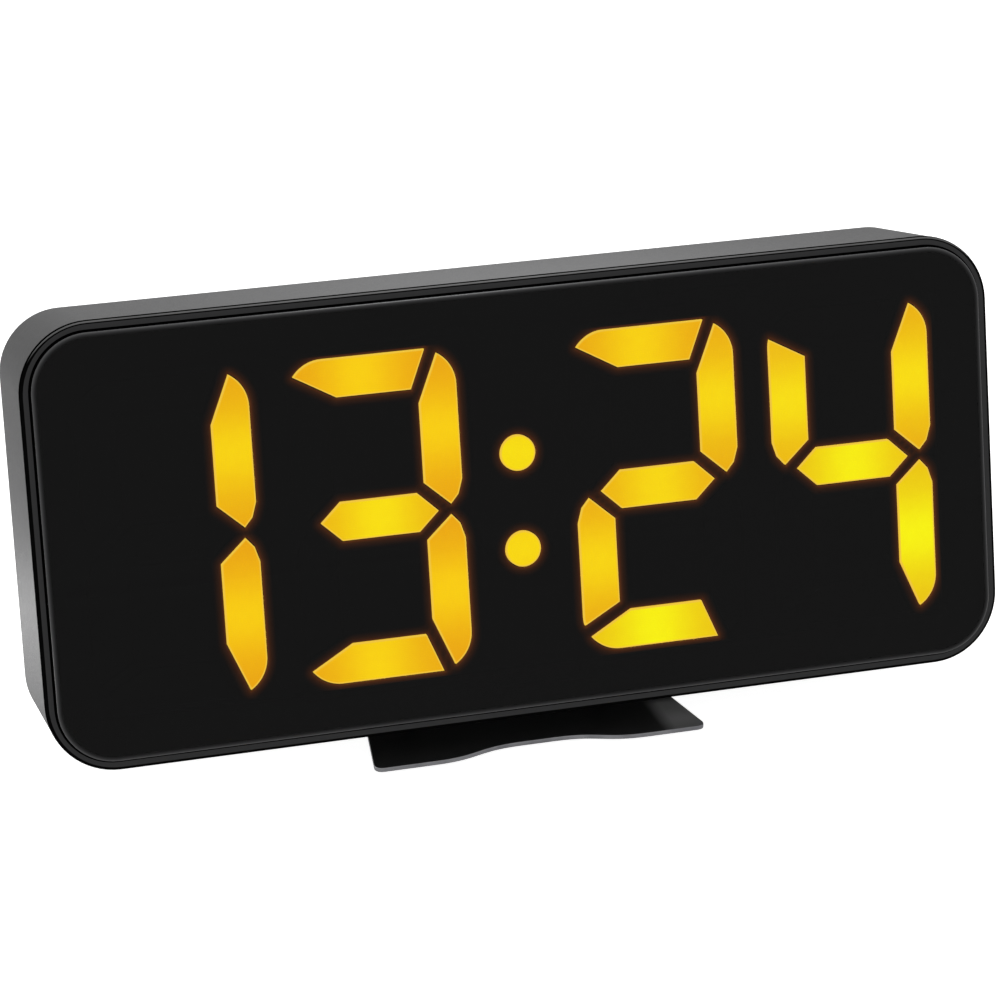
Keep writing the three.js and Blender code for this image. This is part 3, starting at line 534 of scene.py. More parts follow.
def lit_pad():
    """Amber diffuser lit by one chip: lemon over the chip, amber at the ends, pale rim."""
    material, tree, shader, place = start_material("lit amber diffuser", specular=0.2)
    along = attribute(tree, "along")
    across = maths(tree, "MULTIPLY", attribute(tree, "across"), PAD_FADE_ACROSS)
    square = maths(tree, "ADD", maths(tree, "MULTIPLY", along, along),
                   maths(tree, "MULTIPLY", across, across))
    reach = maths(tree, "DIVIDE", maths(tree, "POWER", square, 0.5), PAD_FADE_REACH)
    clouds = stretch(tree, noise(tree, place, 700.0, 4.0), 0.25, 0.75, 0.975, 1.02)
    fade = maths(tree, "MULTIPLY", clouds, ramp(tree, reach, [
        (0.0, 1.0), (0.17, 0.98), (0.36, 0.87), (0.6, 0.74), (1.0, 0.6),
    ], smooth=True))
    green = stretch(tree, attribute(tree, "chip"), 0.0, 1.0, 0.58, 0.9)
    red = stretch(tree, fade, 0.6, 1.0, 0.83, 0.95)
    colour = add_node(tree, "ShaderNodeCombineColor", {
        "Red": red, "Green": maths(tree, "MULTIPLY", green, fade), "Blue": 0.0005,
    }).outputs["Color"]
    feed(tree, shader, {
        "Emission Color": blended(tree, PAD_RIM_COLOUR, colour, attribute(tree, "inside")),
        "Emission Strength": LAMP_STRENGTH,
        "Base Color": (0.3, 0.16, 0.02, 1.0),
        "Roughness": 0.5,
        "Normal": bumped(tree, noise(tree, place, 2500.0), 0.00001),
    })
    return material


# An unlit pad is painted near-black, as the shade behind the smoked lens; a lit pad of the same
# diffuser is amber.
def unlit_pad():
    return moulded("unlit diffuser", *DEEP_BLACK, (0.8, 0.9), 0.000005, specular=0.0)


def mask_film():
    """Black film with a painted glow round each lit segment, given off as emission."""
    material, tree, shader, place = start_material("display mask film", specular=0.0)
    # The painted glow, strongest beside a lit segment and gone at the halo's reach.
    reach = maths(tree, "DIVIDE", attribute(tree, "from_light"), HALO_REACH)
    level = ramp(tree, reach, [
        (0.0, 1.0), (0.1, 0.78), (0.2, 0.46), (0.35, 0.24), (0.5, 0.14), (0.7, 0.07), (1.0, 0.0),
    ])
    grain = use_group(tree, GRAIN, {"Vector": place, "Pits": 2500.0, "Mottle": 400.0})
    feed(tree, shader, {
        "Emission Color": blended(tree, (0.0, 0.0, 0.0), HALO_COLOUR, level),
        "Emission Strength": LAMP_STRENGTH,
        "Base Color": blended(tree, *DEEP_BLACK, grain["Cloud"]),
        "Roughness": 0.8,
        "Normal": bumped(tree, grain["Height"], 0.000005),
    })
    return material


def smoked_acrylic():
    """Polished smoked acrylic that hides all that isn't lit."""
    material, tree, shader, place = start_material("smoked acrylic", specular=0.13)
    smoke = stretch(tree, noise(tree, place, 60.0, 2.0), 0.3, 0.7)
    feed(tree, shader, {
        "Base Color": blended(tree, (LENS_TINT * 0.99,) * 3, (LENS_TINT * 1.01,) * 3, smoke),
        "Transmission Weight": 1.0,
        "IOR": 1.49,
        "Roughness": 0.02,
        "Specular Tint": LENS_SHEEN,
    })
    return material


def lens_edge_highlight():
    """The lens's rim, rougher towards the outline, with a painted highlight: pale at the outline
    and dark where it meets the polish.
    """
    material, tree, shader, place = start_material("lens edge painted highlight", specular=0.5)
    marks = stretch(tree, noise(tree, place, 1500.0), 0.3, 0.7, 0.9, 1.1)
    edge = attribute(tree, "edge")
    # The painted highlight, strongest at the outline.
    painted_highlight = maths(tree, "MULTIPLY", edge, edge)
    rough = maths(tree, "MULTIPLY", maths(tree, "MULTIPLY", edge, 0.25), marks)
    feed(tree, shader, {
        "Base Color": blended(tree, DEEP_BLACK[0], (0.092, 0.092, 0.094), painted_highlight),
        "Roughness": maths(tree, "ADD", rough, 0.02),
        "Specular Tint": LENS_SHEEN,
    })
    return material


def foot_paint():
    """Smooth black paint, with a painted sheen on the right toe, lighter towards the rear."""
    material, tree, shader, place = start_material("foot paint", specular=0.4)
    parts = add_node(tree, "ShaderNodeSeparateXYZ", {"Vector": place})
    # The painted sheen: on the right toe, in front of the body, rising towards the rear.
    toe = stretch(tree, parts.outputs["X"], 0.0212, 0.0238)
    ahead = stretch(tree, parts.outputs["Y"], -0.0105, -0.0085, 1.0, 0.0)
    sheen_rise = stretch(tree, parts.outputs["Y"], -0.02, -0.0115, 0.26, 1.0)
    grain = use_group(tree, GRAIN, {"Vector": place, "Pits": 2500.0, "Mottle": 300.0})
    clouds = stretch(tree, grain["Cloud"], 0.0, 1.0, 0.9, 1.0)
    painted_sheen = maths(tree, "MULTIPLY", maths(tree, "MULTIPLY", toe, ahead), clouds)
    grey = maths(tree, "MULTIPLY", painted_sheen, sheen_rise)
    feed(tree, shader, {
        "Base Color": blended(tree, (0.012, 0.012, 0.012), (0.4, 0.4, 0.4), grey),
        "Roughness": stretch(tree, painted_sheen, 0.0, 1.0, 0.3, 0.45),
        "Normal": bumped(tree, grain["Height"], 0.000001),
    })
    return material


# Finishes

CASING = moulded("grained grey casing", (0.096, 0.096, 0.097), (0.108, 0.108, 0.109),
                 (0.5, 0.6), 0.00004, pits=2400.0, mottle=900.0, specular=0.04)
CASING_INSIDE = moulded("casing inside", (0.02, 0.02, 0.02), (0.028, 0.028, 0.028),
                        (0.7, 0.8), 0.00001, specular=0.2)
FRAME_FACE = moulded("frame face", (0.007, 0.007, 0.0077), (0.010, 0.010, 0.011), (0.3, 0.38),
                     0.000004, pits=5000.0, specular=0.3)
# The frame's rounding: black without sheen, which paints the dark reflection along it, with a
# painted highlight on what faces up.
FRAME_SIDE = moulded("frame rounding", (0.002, 0.002, 0.002), (0.003, 0.003, 0.003),
                     (0.8, 0.9), 0.000004, specular=0.0, top_highlight=0.9, top_highlight_colour=(0.15, 0.15, 0.15),
                     top_highlight_start=0.5)
# Black for the insides, and painted shade in the parting gap, on the frame's side and in the lens's
# groove.
BLACK_AND_GAP_SHADE = moulded("black inside and painted gap shade", *DEEP_BLACK, (0.85, 0.95), 0.000004, specular=0.0)
LENS_EDGE_HIGHLIGHT = lens_edge_highlight()
LENS = smoked_acrylic()
MASK = mask_film()
LIT_PAD = lit_pad()
UNLIT_PAD = unlit_pad()
KEY_PLASTIC = moulded("key plastic", (0.02, 0.02, 0.021), (0.03, 0.03, 0.031), (0.4, 0.5),
                      0.00001, specular=0.4)
SYMBOL_PAINT = moulded("key mark paint", (0.5, 0.5, 0.5), (0.6, 0.6, 0.6), (0.5, 0.6), 0.00001)
FOOT_PAINT = foot_paint()
CUT_EDGE = plated("cut plate edge", (0.16, 0.16, 0.17), (0.24, 0.24, 0.25), (0.35, 0.5), 0.00001)
PAD_RUBBER = moulded("pad rubber", (0.015, 0.015, 0.015), (0.022, 0.022, 0.022), (0.8, 0.9),
                     0.00003, pits=2000.0, specular=0.3)
STEEL = plated("plated steel", (0.5, 0.51, 0.52), (0.62, 0.63, 0.64), (0.22, 0.34), 0.000005)
COPPER = plated("copper foil", (0.62, 0.3, 0.16), (0.75, 0.4, 0.24), (0.3, 0.42), 0.000005)
WHITE_PLASTIC = moulded("white plastic", (0.72, 0.71, 0.68), (0.78, 0.77, 0.74), (0.5, 0.6),
                        0.00001)
BOARD_LACQUER = moulded("board lacquer", (0.02, 0.11, 0.04), (0.03, 0.15, 0.06), (0.35, 0.5),
                        0.00001, pits=900.0)
CHIP_BLACK = moulded("component black", (0.018, 0.018, 0.02), (0.03, 0.03, 0.032), (0.5, 0.6),
                     0.00001)


# Outlines of the display's segments, as x and z points about a digit's middle

STEEP_TOP = 0.79
STEEP_FOOT = 1.2
STEEP_INNER = 1.38
SHALLOW_INNER = 1.24
SHALLOW_RUN = 1.28
WAIST_TIP = 0.14
WAIST_FLANK = 0.38
WAIST_FLANK_IN = 0.12
WAIST_TIP_IN = 0.33
WAIST_OUTER = 0.77
WAIST_INNER = 0.74
BAR_TIP = 0.67
BAR_SHOULDER = 1.2
STEEP_TURN = 0.66
SHALLOW_TURN = 0.41
LOW_TURN = 0.17
QUARTER = math.pi / 2


def corner_arc(side_x, from_turn, to_turn):
    points = []
    for step in range(ARC_STEPS + 1):
        turn = from_turn + (to_turn - from_turn) * step / ARC_STEPS
        points.append(Vector((
            side_x * (DIGIT_WIDTH / 2 - DIGIT_CORNER + DIGIT_CORNER * math.cos(turn)),
            DIGIT_HEIGHT / 2 - DIGIT_CORNER + DIGIT_CORNER * math.sin(turn),
        )))
    return points


def stroke_point(from_x, shares_x, from_z, shares_z):
    return Vector((from_x + STROKE * shares_x, from_z + STROKE * shares_z))


def top_bar():
    """Rounded outside at the left, cut steeply at the right."""
    top = DIGIT_HEIGHT / 2
    half = DIGIT_WIDTH / 2
    return [
        *corner_arc(-1, QUARTER * SHALLOW_TURN, QUARTER),
        stroke_point(half, -STEEP_TOP, top, 0),
        stroke_point(half, -STEEP_FOOT, top, -1),
        stroke_point(-half, SHALLOW_RUN, top, -1),
    ]


def side_bar(side, turn_share, inner_share):
    """A column cut at its top corner and pointed at the waist."""
    outer = side * DIGIT_WIDTH / 2
    return [
        *corner_arc(side, QUARTER * turn_share, 0),
        stroke_point(outer, 0, 0, WAIST_OUTER),
        stroke_point(outer, -side * WAIST_FLANK_IN, 0, WAIST_FLANK),
        stroke_point(outer, -side * WAIST_TIP_IN, 0, WAIST_TIP),
        stroke_point(outer, -side, 0, WAIST_INNER),
        stroke_point(outer, -side, DIGIT_HEIGHT / 2, -inner_share),
    ]


def middle_bar():
    tip = DIGIT_WIDTH / 2 - STROKE * BAR_TIP
    shoulder = DIGIT_WIDTH / 2 - STROKE * BAR_SHOULDER
    half = STROKE / 2
    corners = [(-tip, 0), (-shoulder, -half), (shoulder, -half),
               (tip, 0), (shoulder, half), (-shoulder, half)]
    return [Vector(corner) for corner in corners]


def flipped(outline):
    return [Vector((point.x, -point.y)) for point in outline]


def signed_area(outline):
    pairs = zip(outline, outline[1:] + outline[:1])
    return sum(a.x * b.y - b.x * a.y for a, b in pairs) / 2


def anticlockwise(outline):
    return outline if signed_area(outline) > 0 else outline[::-1]


RIGHT_BAR = side_bar(1, STEEP_TURN, STEEP_INNER)
LEFT_BAR = side_bar(-1, LOW_TURN, SHALLOW_INNER)
OUTLINES = [top_bar(), RIGHT_BAR, flipped(RIGHT_BAR), flipped(top_bar()), flipped(LEFT_BAR),
            LEFT_BAR, middle_bar()]
# Lettered as on any seven-segment digit: top, right pair, bottom, left pair, middle.
SEGMENTS = {name: anticlockwise(outline) for name, outline in zip("abcdefg", OUTLINES)}

# The lit segments of each digit, and how strongly the chip behind each one shows, 0 to 1.
LIT = [
    {"b": 0.25, "c": 0.1},
    {"a": 0.12, "b": 0.12, "c": 0.1, "d": 0.2, "g": 0.5},
    {"a": 0.2, "b": 0.35, "d": 0.95, "e": 0.27, "g": 0.35},
    {"b": 0.45, "c": 1.0, "f": 0.5, "g": 0.87},
]
LIT_DOTS = [0.5, 0.35]


def moved(outline, x, z):
    return [point + Vector((x, z)) for point in outline]


def grown(outline, margin):
    """An anticlockwise outline moved outwards by an even margin."""
    result = []
    for index, here in enumerate(outline):
        into = (here - outline[index - 1]).normalized()
        out = (outline[(index + 1) % len(outline)] - here).normalized()
        normal_in = Vector((into.y, -into.x))
        normal_out = Vector((out.y, -out.x))
        miter = (normal_in + normal_out).normalized()
        result.append(here + miter * (margin / miter.dot(normal_in)))
    return result


def round_outline(radius, sides=ROUND_SIDES):
    turns = [2 * math.pi * side / sides for side in range(sides)]
    return [Vector((radius * math.cos(turn), radius * math.sin(turn))) for turn in turns]


def middle_point(outline):
    xs = [point.x for point in outline]
    zs = [point.y for point in outline]
    return Vector(((min(xs) + max(xs)) / 2, (min(zs) + max(zs)) / 2))


def sight(outline, chip, upright):
    """An opening of the display: its outline, its chip's level and which way it runs."""
    return {
        "outline": outline, "middle": middle_point(outline), "chip": chip, "upright": upright,
    }


def digit_sights(index):
    middle = middle_of(f"digit_diffuser_{index + 1}")
    return [
        sight(moved(outline, middle.x, middle.z), LIT[index].get(name), name in "bcef")
        for name, outline in SEGMENTS.items()
    ]


def dot_sights():
    middle = middle_of("colon_diffuser")
    return [
        sight(moved(round_outline(DOT_RADIUS), middle.x, middle.z + side * DOT_PLACE), chip, True)
        for side, chip in zip((1, -1), LIT_DOTS)
    ]


DIGITS = [digit_sights(index) for index in range(len(LIT))]
DOTS = dot_sights()
ALL_SIGHTS = [each for digit in DIGITS for each in digit] + DOTS


# Display pieces

def distance_to(outline, points):
    """Distance from each point, a row of x and z, to the outline's line."""
    best = np.full(len(points), np.inf)
    for index, end in enumerate(outline):
        start = np.array(outline[index - 1])
        run = np.array(end) - start
        share = np.clip(((points - start) @ run) / (run @ run), 0, 1)
        nearest = start + share[:, None] * run
        best = np.minimum(best, np.linalg.norm(points - nearest, axis=1))
    return best


def face_points(bm):
    return np.array([(vertex.co.x, vertex.co.z) for vertex in bm.verts])


def set_layer(bm, name, values):
    layer = bm.verts.layers.float.get(name) or bm.verts.layers.float.new(name)
    for vertex, value in zip(bm.verts, values):
        vertex[layer] = float(value)


def grid_sheet(low, high, cell):
    """A sheet between two corners, divided into cells across its face."""
    across = max(1, round((high.x - low.x) / cell))
    up = max(1, round((high.z - low.z) / cell))
    bm = bmesh.new()
    bmesh.ops.create_grid(bm, x_segments=across, y_segments=up, size=0.5)
    size = Matrix.Diagonal((high.x - low.x, high.z - low.z, 1, 1))
    upright = Matrix.Rotation(math.pi / 2, 4, "X")
    middle = Vector(((low.x + high.x) / 2, low.y, (low.z + high.z) / 2))
    move(bm, Matrix.Translation(middle) @ upright @ size)
    return pushed_out(bm, bm.faces[:], (0, high.y - low.y, 0))


def make_mask():
    low, high = limits("segment_mask")
    sheet = grid_sheet(low, high, MASK_CELL)
    deep = (low.y - OVERRUN, high.y + OVERRUN)
    cutters = [plate(grown(each["outline"], SIGHT_GAP), deep) for each in ALL_SIGHTS]
    sheet = cut(sheet, together(cutters))
    points = face_points(sheet)
    lit = [distance_to(e["outline"], points) for e in ALL_SIGHTS if e["chip"] is not None]
    set_layer(sheet, "from_light", np.min(lit, axis=0))
    return sheet


def make_pad(outline, front, back):
    """One segment's pad, its front face ringed twice inside the outline."""
    bm = plate(outline, (front, back))
    for width in (RIM_BAND, RIM_WIDTH - RIM_BAND):
        faces = [f for f in bm.faces if all(abs(v.co.y - front) < FLUSH for v in f.verts)]
        middle = max(faces, key=lambda face: face.calc_area())
        bmesh.ops.inset_individual(bm, faces=[middle], thickness=width, use_even_offset=True)
    return bm


def make_diffuser(sights, node):
    """Pads on a thin web, with the values that the lit material reads."""
    low, high = limits(node)
    web_front = low.y + PAD_STAND
    web = block((low.x, high.x), (web_front, high.y), (low.z, high.z))
    pads = together([make_pad(e["outline"], low.y, web_front + PAD_ROOT) for e in sights])
    bm = joined(web, pads)
    points = face_points(bm)
    gaps = np.array([distance_to(e["outline"], points) for e in sights])
    reach = np.array([np.linalg.norm(points - np.array(e["middle"]), axis=1) for e in sights])
    inside = np.array([
        [bool(inside_outline(point, e["outline"])) for point in points] for e in sights
    ])
    score = np.where(inside, -1.0, gaps) + reach * TIE_BREAK
    nearest = np.argmin(score, axis=0)
    own = [sights[index] for index in nearest]
    offset = [point - np.array(e["middle"]) for point, e in zip(points, own)]
    set_layer(bm, "along", [o[1] if e["upright"] else o[0] for o, e in zip(offset, own)])
    set_layer(bm, "across", [o[0] if e["upright"] else o[1] for o, e in zip(offset, own)])
    set_layer(bm, "chip", [e["chip"] or 0.0 for e in own])
    edge_gap = gaps[nearest, np.arange(len(points))]
    set_layer(bm, "inside", (edge_gap - RIM_BAND) / (RIM_WIDTH - RIM_BAND))
    paint_lit(bm, own, web_front)
    return bm


def inside_outline(point, outline):
    """Whether a point lies inside a closed outline or on its line."""
    hit = False
    for index, end in enumerate(outline):
        start = outline[index - 1]
        if (start.y > point[1]) != (end.y > point[1]):
            share = (point[1] - start.y) / (end.y - start.y)
            if point[0] < start.x + share * (end.x - start.x):
                hit = not hit
    return hit or distance_to(outline, np.array([point]))[0] < ON_LINE


def paint_lit(bm, own, web_front):
    """Lit pads get the first material, and unlit pads and the web the second."""
    bm.verts.index_update()
    for face in bm.faces:
        middle = face.calc_center_median()
        lit = all(own[vertex.index]["chip"] is not None for vertex in face.verts)
        face.material_index = 0 if lit and middle.y < web_front - HAIR else 1


# Shell pieces

INNER_BACK = CASING_BACK - BACK_WALL
POST_RADIUS = 2.4
CASING_POST_RADIUS = 3.7
PILOT_RADIUS = 1.4
SCREW_RECESS = 2.7
SCREW_FLOOR_FRONT = 16.0
SCREW_FLOOR_BACK = 17.2
FRAME_POST_END = 15.7
BOARD_BACK = limits("main_board")[1].y
CASING_SCREWS = [middle_of(f"casing_screw_{index}") for index in range(1, 5)]
DISPLAY_SCREWS = [middle_of(f"display_screw_{index}") for index in range(1, 5)]
BOARD_SCREWS = [middle_of(f"board_screw_{index}") for index in range(1, 5)]
BLOCK_BACK = limits("reflector_block")[1].y


def depth_inside(point, inset=0.0, corner=CORNER):
    """How far a point lies inside a rounded outline of the face, and which way is out."""
    half_x = FACE_WIDTH / 2 - inset - corner
    half_z = FACE_HEIGHT / 2 - inset - corner
    core = Vector((max(-half_x, min(half_x, point.x)), 0, max(-half_z, min(half_z, point.z))))
    away = Vector((point.x, 0, point.z)) - core
    if away.length < FLUSH:
        return corner, away
    return corner - away.length, away.normalized()


def draft_at(y):
    return DRAFT * y / CASING_BACK


def draw_in(bm, amount_at):
    """Moves every point of an outline's sides inwards by an amount set by its depth."""
    for vertex in bm.verts:
        out = depth_inside(vertex.co)[1]
        vertex.co -= out * amount_at(vertex.co.y)


def paint(bm, choose):
    for face in bm.faces:
        face.material_index = choose(face.calc_center_median(), face.normal)


def make_frame():
    rim = face_slab(0, (0, RIM_DEPTH))
    bevel(rim, rim_edges(rim, 0), RIM_EDGE, steps=5)
    bevel(rim, rim_edges(rim, RIM_DEPTH), RIM_BACK_EDGE, steps=2)
    spigot = face_slab(SPIGOT_OUTER, (RIM_EDGE, SPIGOT_END))
    posts = [rod(POST_RADIUS, (LEDGE_FRONT, FRAME_POST_END), p.x, p.z) for p in CASING_SCREWS]
    posts += [rod(POST_RADIUS, (LEDGE_FRONT, BLOCK_BACK), p.x, p.z) for p in DISPLAY_SCREWS]
    recess = LENS_INSET - LENS_GROOVE
    hollow = face_slab(SPIGOT_INNER, (LEDGE_BACK, SPIGOT_END + OVERRUN))
    seat = face_slab(recess, (-OVERRUN, LEDGE_FRONT), LENS_CORNER + LENS_GROOVE)
    chamfer = face_slab(
        recess - SEAT_EDGE, (-SEAT_EDGE, SEAT_EDGE), LENS_CORNER + LENS_GROOVE + SEAT_EDGE,
    )
    draw_in(chamfer, lambda depth: 2 * SEAT_EDGE if depth > 0 else 0)
    shell = cut(joined(rim, spigot), hollow, seat, chamfer)
    low, high = limits("segment_mask")
    window = bar(
        high.x - low.x - 2 * MASK_LAP, high.z - low.z - 2 * MASK_LAP, (0, LEDGE_BACK + OVERRUN),
        MASK_MIDDLE.x, MASK_MIDDLE.z,
    )
    pilots = [
        rod(PILOT_RADIUS, (LEDGE_BACK + GAP, FRAME_POST_END + OVERRUN), p.x, p.z)
        for p in CASING_SCREWS + DISPLAY_SCREWS
    ]
    shell = joined(shell, *posts)
    shell = cut(shell, *pilots, window)
    paint(shell, frame_material)
    return shell


def frame_material(middle, normal):
    """0 on the face; 1 on the front of its rounding, black with a painted highlight where it faces
    up; 2 on its side and in the groove, painted black as their shade, and behind.
    """
    depth = depth_inside(middle)[0]
    if middle.y < RIM_EDGE + NEAR and normal.y < -FLAT_ON:
        return 0
    if depth < RIM_EDGE + NEAR and middle.y < RIM_CATCH:
        return 1
    return 2


def make_lens():
    lens = slab(
        FACE_WIDTH - 2 * LENS_INSET, FACE_HEIGHT - 2 * LENS_INSET, LENS_CORNER,
        (LENS_FRONT, LENS_BACK), steps=20,
    )
    bevel(lens, rim_edges(lens, LENS_FRONT), LENS_EDGE, steps=8)
    front = max(lens.faces, key=lambda f: f.calc_area() if f.normal.y < -FLAT_ON else 0)
    bmesh.ops.inset_individual(
        lens, faces=[front], thickness=LENS_HIGHLIGHT_REACH - LENS_EDGE, use_even_offset=True,
    )
    set_layer(lens, "edge", [edge_highlight_share(vertex.co) for vertex in lens.verts])
    paint(lens, lens_material)
    return lens


def edge_highlight_share(point):
    """The rim's painted highlight: 1 at the lens's outline, falling to 0 where its front is clear.
    """
    depth = depth_inside(point, LENS_INSET, LENS_CORNER)[0]
    return max(0.0, 1 - depth / LENS_HIGHLIGHT_REACH)


def lens_material(middle, normal):
    """0 on the polished front and back, 1 round the front's rim with its painted highlight, 2 on
    the side, painted black as the groove's shade.
    """
    if normal.y > FLAT_ON:
        return 0
    if middle.y > LENS_FRONT + LENS_EDGE:
        return 2
    return 1 if depth_inside(middle, LENS_INSET, LENS_CORNER)[0] < LENS_HIGHLIGHT_REACH - HAIR else 0


# Openings in the back wall

KEY_NAMES = ["alarm", "plus", "minus", "set"]
KEYS = {name: middle_of(f"{name}_key") for name in KEY_NAMES}
KEY_WIDTH = 8.0
KEY_HEIGHT = 5.0
KEY_FLANGE = 1.0
KEY_FLANGE_DEPTH = 0.9
KEY_FRONT, KEY_BACK = [corner.y for corner in limits("alarm_key")]
KEY_TOP = KEY_BACK - 0.12
CAP_ROUND = 0.4
UNDER_WALL = KEY_FRONT + KEY_FLANGE_DEPTH
SLIDER_LOW, SLIDER_HIGH = limits("alarm_slider")
SLIDER = (SLIDER_LOW + SLIDER_HIGH) / 2
SLIDER_GRIP = 4.0
SLIDER_HEIGHT = 3.0
SLIDER_TRAVEL = 3.0
SLIDER_FLANGE = 1.4
SLIDER_STEM = 1.6
GRIP_CORNER = 0.25
GRIP_ROUND = 0.15
GROOVE_WIDTH = 0.4
GROOVE_DEPTH = 0.35
GROOVE_PITCH = 1.1
INLET = middle_of("power_inlet")
INLET_MOUTH = 4.2
INLET_BORE = 3.2
INLET_PIN = 1.05
INLET_PIN_INSET = 1.5
INLET_PIN_ROOT = 0.3
INLET_PIN_ROUND = 0.4
INLET_FRONT, INLET_END = [corner.y for corner in limits("power_inlet")]
INLET_START = INLET_FRONT + 1.4
INLET_FLARE = 0.4
DOOR = middle_of("battery_door")
DOOR_RADIUS = 13.0
DOOR_SIDES = 96
DOOR_CORE_RADIUS = 11.7
DOOR_FLANGE = 0.9
DOOR_ROUND = 0.25
DOOR_REACH = DOOR_CORE_RADIUS + 1.4
DOOR_TAB_WIDTH = 5.0
DOOR_TAB_DEPTH = 1.0
COIN_SLOT = (13.0, 1.8, 1.0)
DOOR_RING = (9.6, 9.1)
DOOR_RING_DEPTH = 0.25
BUZZER = middle_of("buzzer")
SOUND_HOLE = 0.9
SOUND_RING = 4.2
SOUND_HOLES = 8
VENT_LENGTH = 12.0
VENT_WIDTH = 1.4
VENT_PITCH = 14.85
VENT_HEIGHT = 24.99
VENTS = 7
MOUTH_FLARE = 0.3


def through_back(width, height, x, z, radius=None):
    """A cutter through the back wall, flared where it comes out."""
    corner = min(width, height) / 2 - STADIUM_FLAT if radius is None else radius
    through = (INNER_BACK - OVERRUN, CASING_BACK + OVERRUN)
    mouth = (CASING_BACK - MOUTH_FLARE, CASING_BACK + MOUTH_FLARE)
    hole = slab(width, height, corner, through, x, z, MOUTH_STEPS)
    flare = slab(width, height, corner, mouth, x, z, MOUTH_STEPS)
    grow = Matrix.Diagonal((1 + 4 * MOUTH_FLARE / width, 1, 1 + 4 * MOUTH_FLARE / height, 1))
    about = Matrix.Translation((x, 0, z)) @ grow @ Matrix.Translation((-x, 0, -z))
    ends = [vertex for vertex in flare.verts if vertex.co.y > CASING_BACK]
    move(flare, about, ends)
    return [hole, flare]


def round_through(radius, x, z, sides=ROUND_SIDES):
    hole = rod(radius, (INNER_BACK - OVERRUN, CASING_BACK + OVERRUN), x, z, sides)
    flare = rod(
        radius, (CASING_BACK - MOUTH_FLARE, CASING_BACK + MOUTH_FLARE), x, z, sides,
        radius + 2 * MOUTH_FLARE,
    )
    return [hole, flare]


def key_cuts():
    tools = []
    for place in KEYS.values():
        width = KEY_WIDTH + 2 * GAP
        height = KEY_HEIGHT + 2 * GAP
        tools += through_back(width, height, place.x, place.z)
    return tools


def slider_cuts():
    return through_back(
        SLIDER_GRIP + SLIDER_TRAVEL + 2 * GAP, SLIDER_HEIGHT + 2 * GAP,
        SLIDER.x + SLIDER_TRAVEL / 2, SLIDER.z, 0.3,
    )


def door_cuts():
    """The door's stepped seat, and the notches that its tabs pass through."""
    step = CASING_BACK - DOOR_FLANGE - GAP
    through = (INNER_BACK - OVERRUN, CASING_BACK + OVERRUN)
    seat = rod(DOOR_RADIUS + GAP, (step, CASING_BACK + OVERRUN), DOOR.x, DOOR.z, DOOR_SIDES)
    hole = rod(DOOR_CORE_RADIUS + GAP, through, DOOR.x, DOOR.z, DOOR_SIDES)
    notches = bar(DOOR_TAB_WIDTH + 2 * GAP, 2 * DOOR_REACH, through, DOOR.x, DOOR.z)
    return [seat, hole, notches]


def air_cuts():
    tools = round_through(SOUND_HOLE, BUZZER.x, BUZZER.z, SMALL_SIDES)
    for hole in range(SOUND_HOLES):
        turn = 2 * math.pi * hole / SOUND_HOLES
        tools += round_through(
            SOUND_HOLE, BUZZER.x + SOUND_RING * math.cos(turn),
            BUZZER.z + SOUND_RING * math.sin(turn), SMALL_SIDES,
        )
    for vent in range(VENTS):
        x = (vent - (VENTS - 1) / 2) * VENT_PITCH
        tools += through_back(VENT_LENGTH, VENT_WIDTH, x, VENT_HEIGHT)
    return tools


# Hinge of the foot

PIN = middle_of("hinge_pin")
PIN_RADIUS = 1.5
LUG_INNER = 16.8
LUG_OUTER = 17.6
LUG_RADIUS = 2.6
INNER_BOSS = (13.0, 16.5)
OUTER_BOSS = (18.8, 22.3)
BOSS_REACH = 3.2
SLOT_FRONT = PIN.y - LUG_RADIUS - 0.6
SLOT_BACK = PIN.y + LUG_RADIUS + 1.0
BODY_LOW = -(FACE_HEIGHT / 2)


def both_sides(span):
    return [span, (-span[1], -span[0])]


def hinge_bosses():
    floor = BODY_LOW + draft_at(PIN.y) + SIDE_WALL / 2
    return [
        block(span, (PIN.y - BOSS_REACH, INNER_BACK + BACK_WALL / 2), (floor, PIN.z + BOSS_REACH))
        for width in (INNER_BOSS, OUTER_BOSS) for span in both_sides(width)
    ]


def rod_along_x(radius, span, y, z, sides=ROUND_SIDES):
    bm = rod(radius, span, 0, 0, sides)
    turn = Matrix.Rotation(-math.pi / 2, 4, "Z")
    move(bm, Matrix.Translation((0, y, z)) @ turn)
    return bm


def hinge_cuts():
    slots = [
        block(span, (SLOT_FRONT, SLOT_BACK), (BODY_LOW - OVERRUN, PIN.z + BOSS_REACH))
        for span in both_sides((INNER_BOSS[1], OUTER_BOSS[0]))
    ]
    reach = OUTER_BOSS[1] + OVERRUN
    return [*slots, rod_along_x(PIN_RADIUS + GAP, (-reach, reach), PIN.y, PIN.z)]


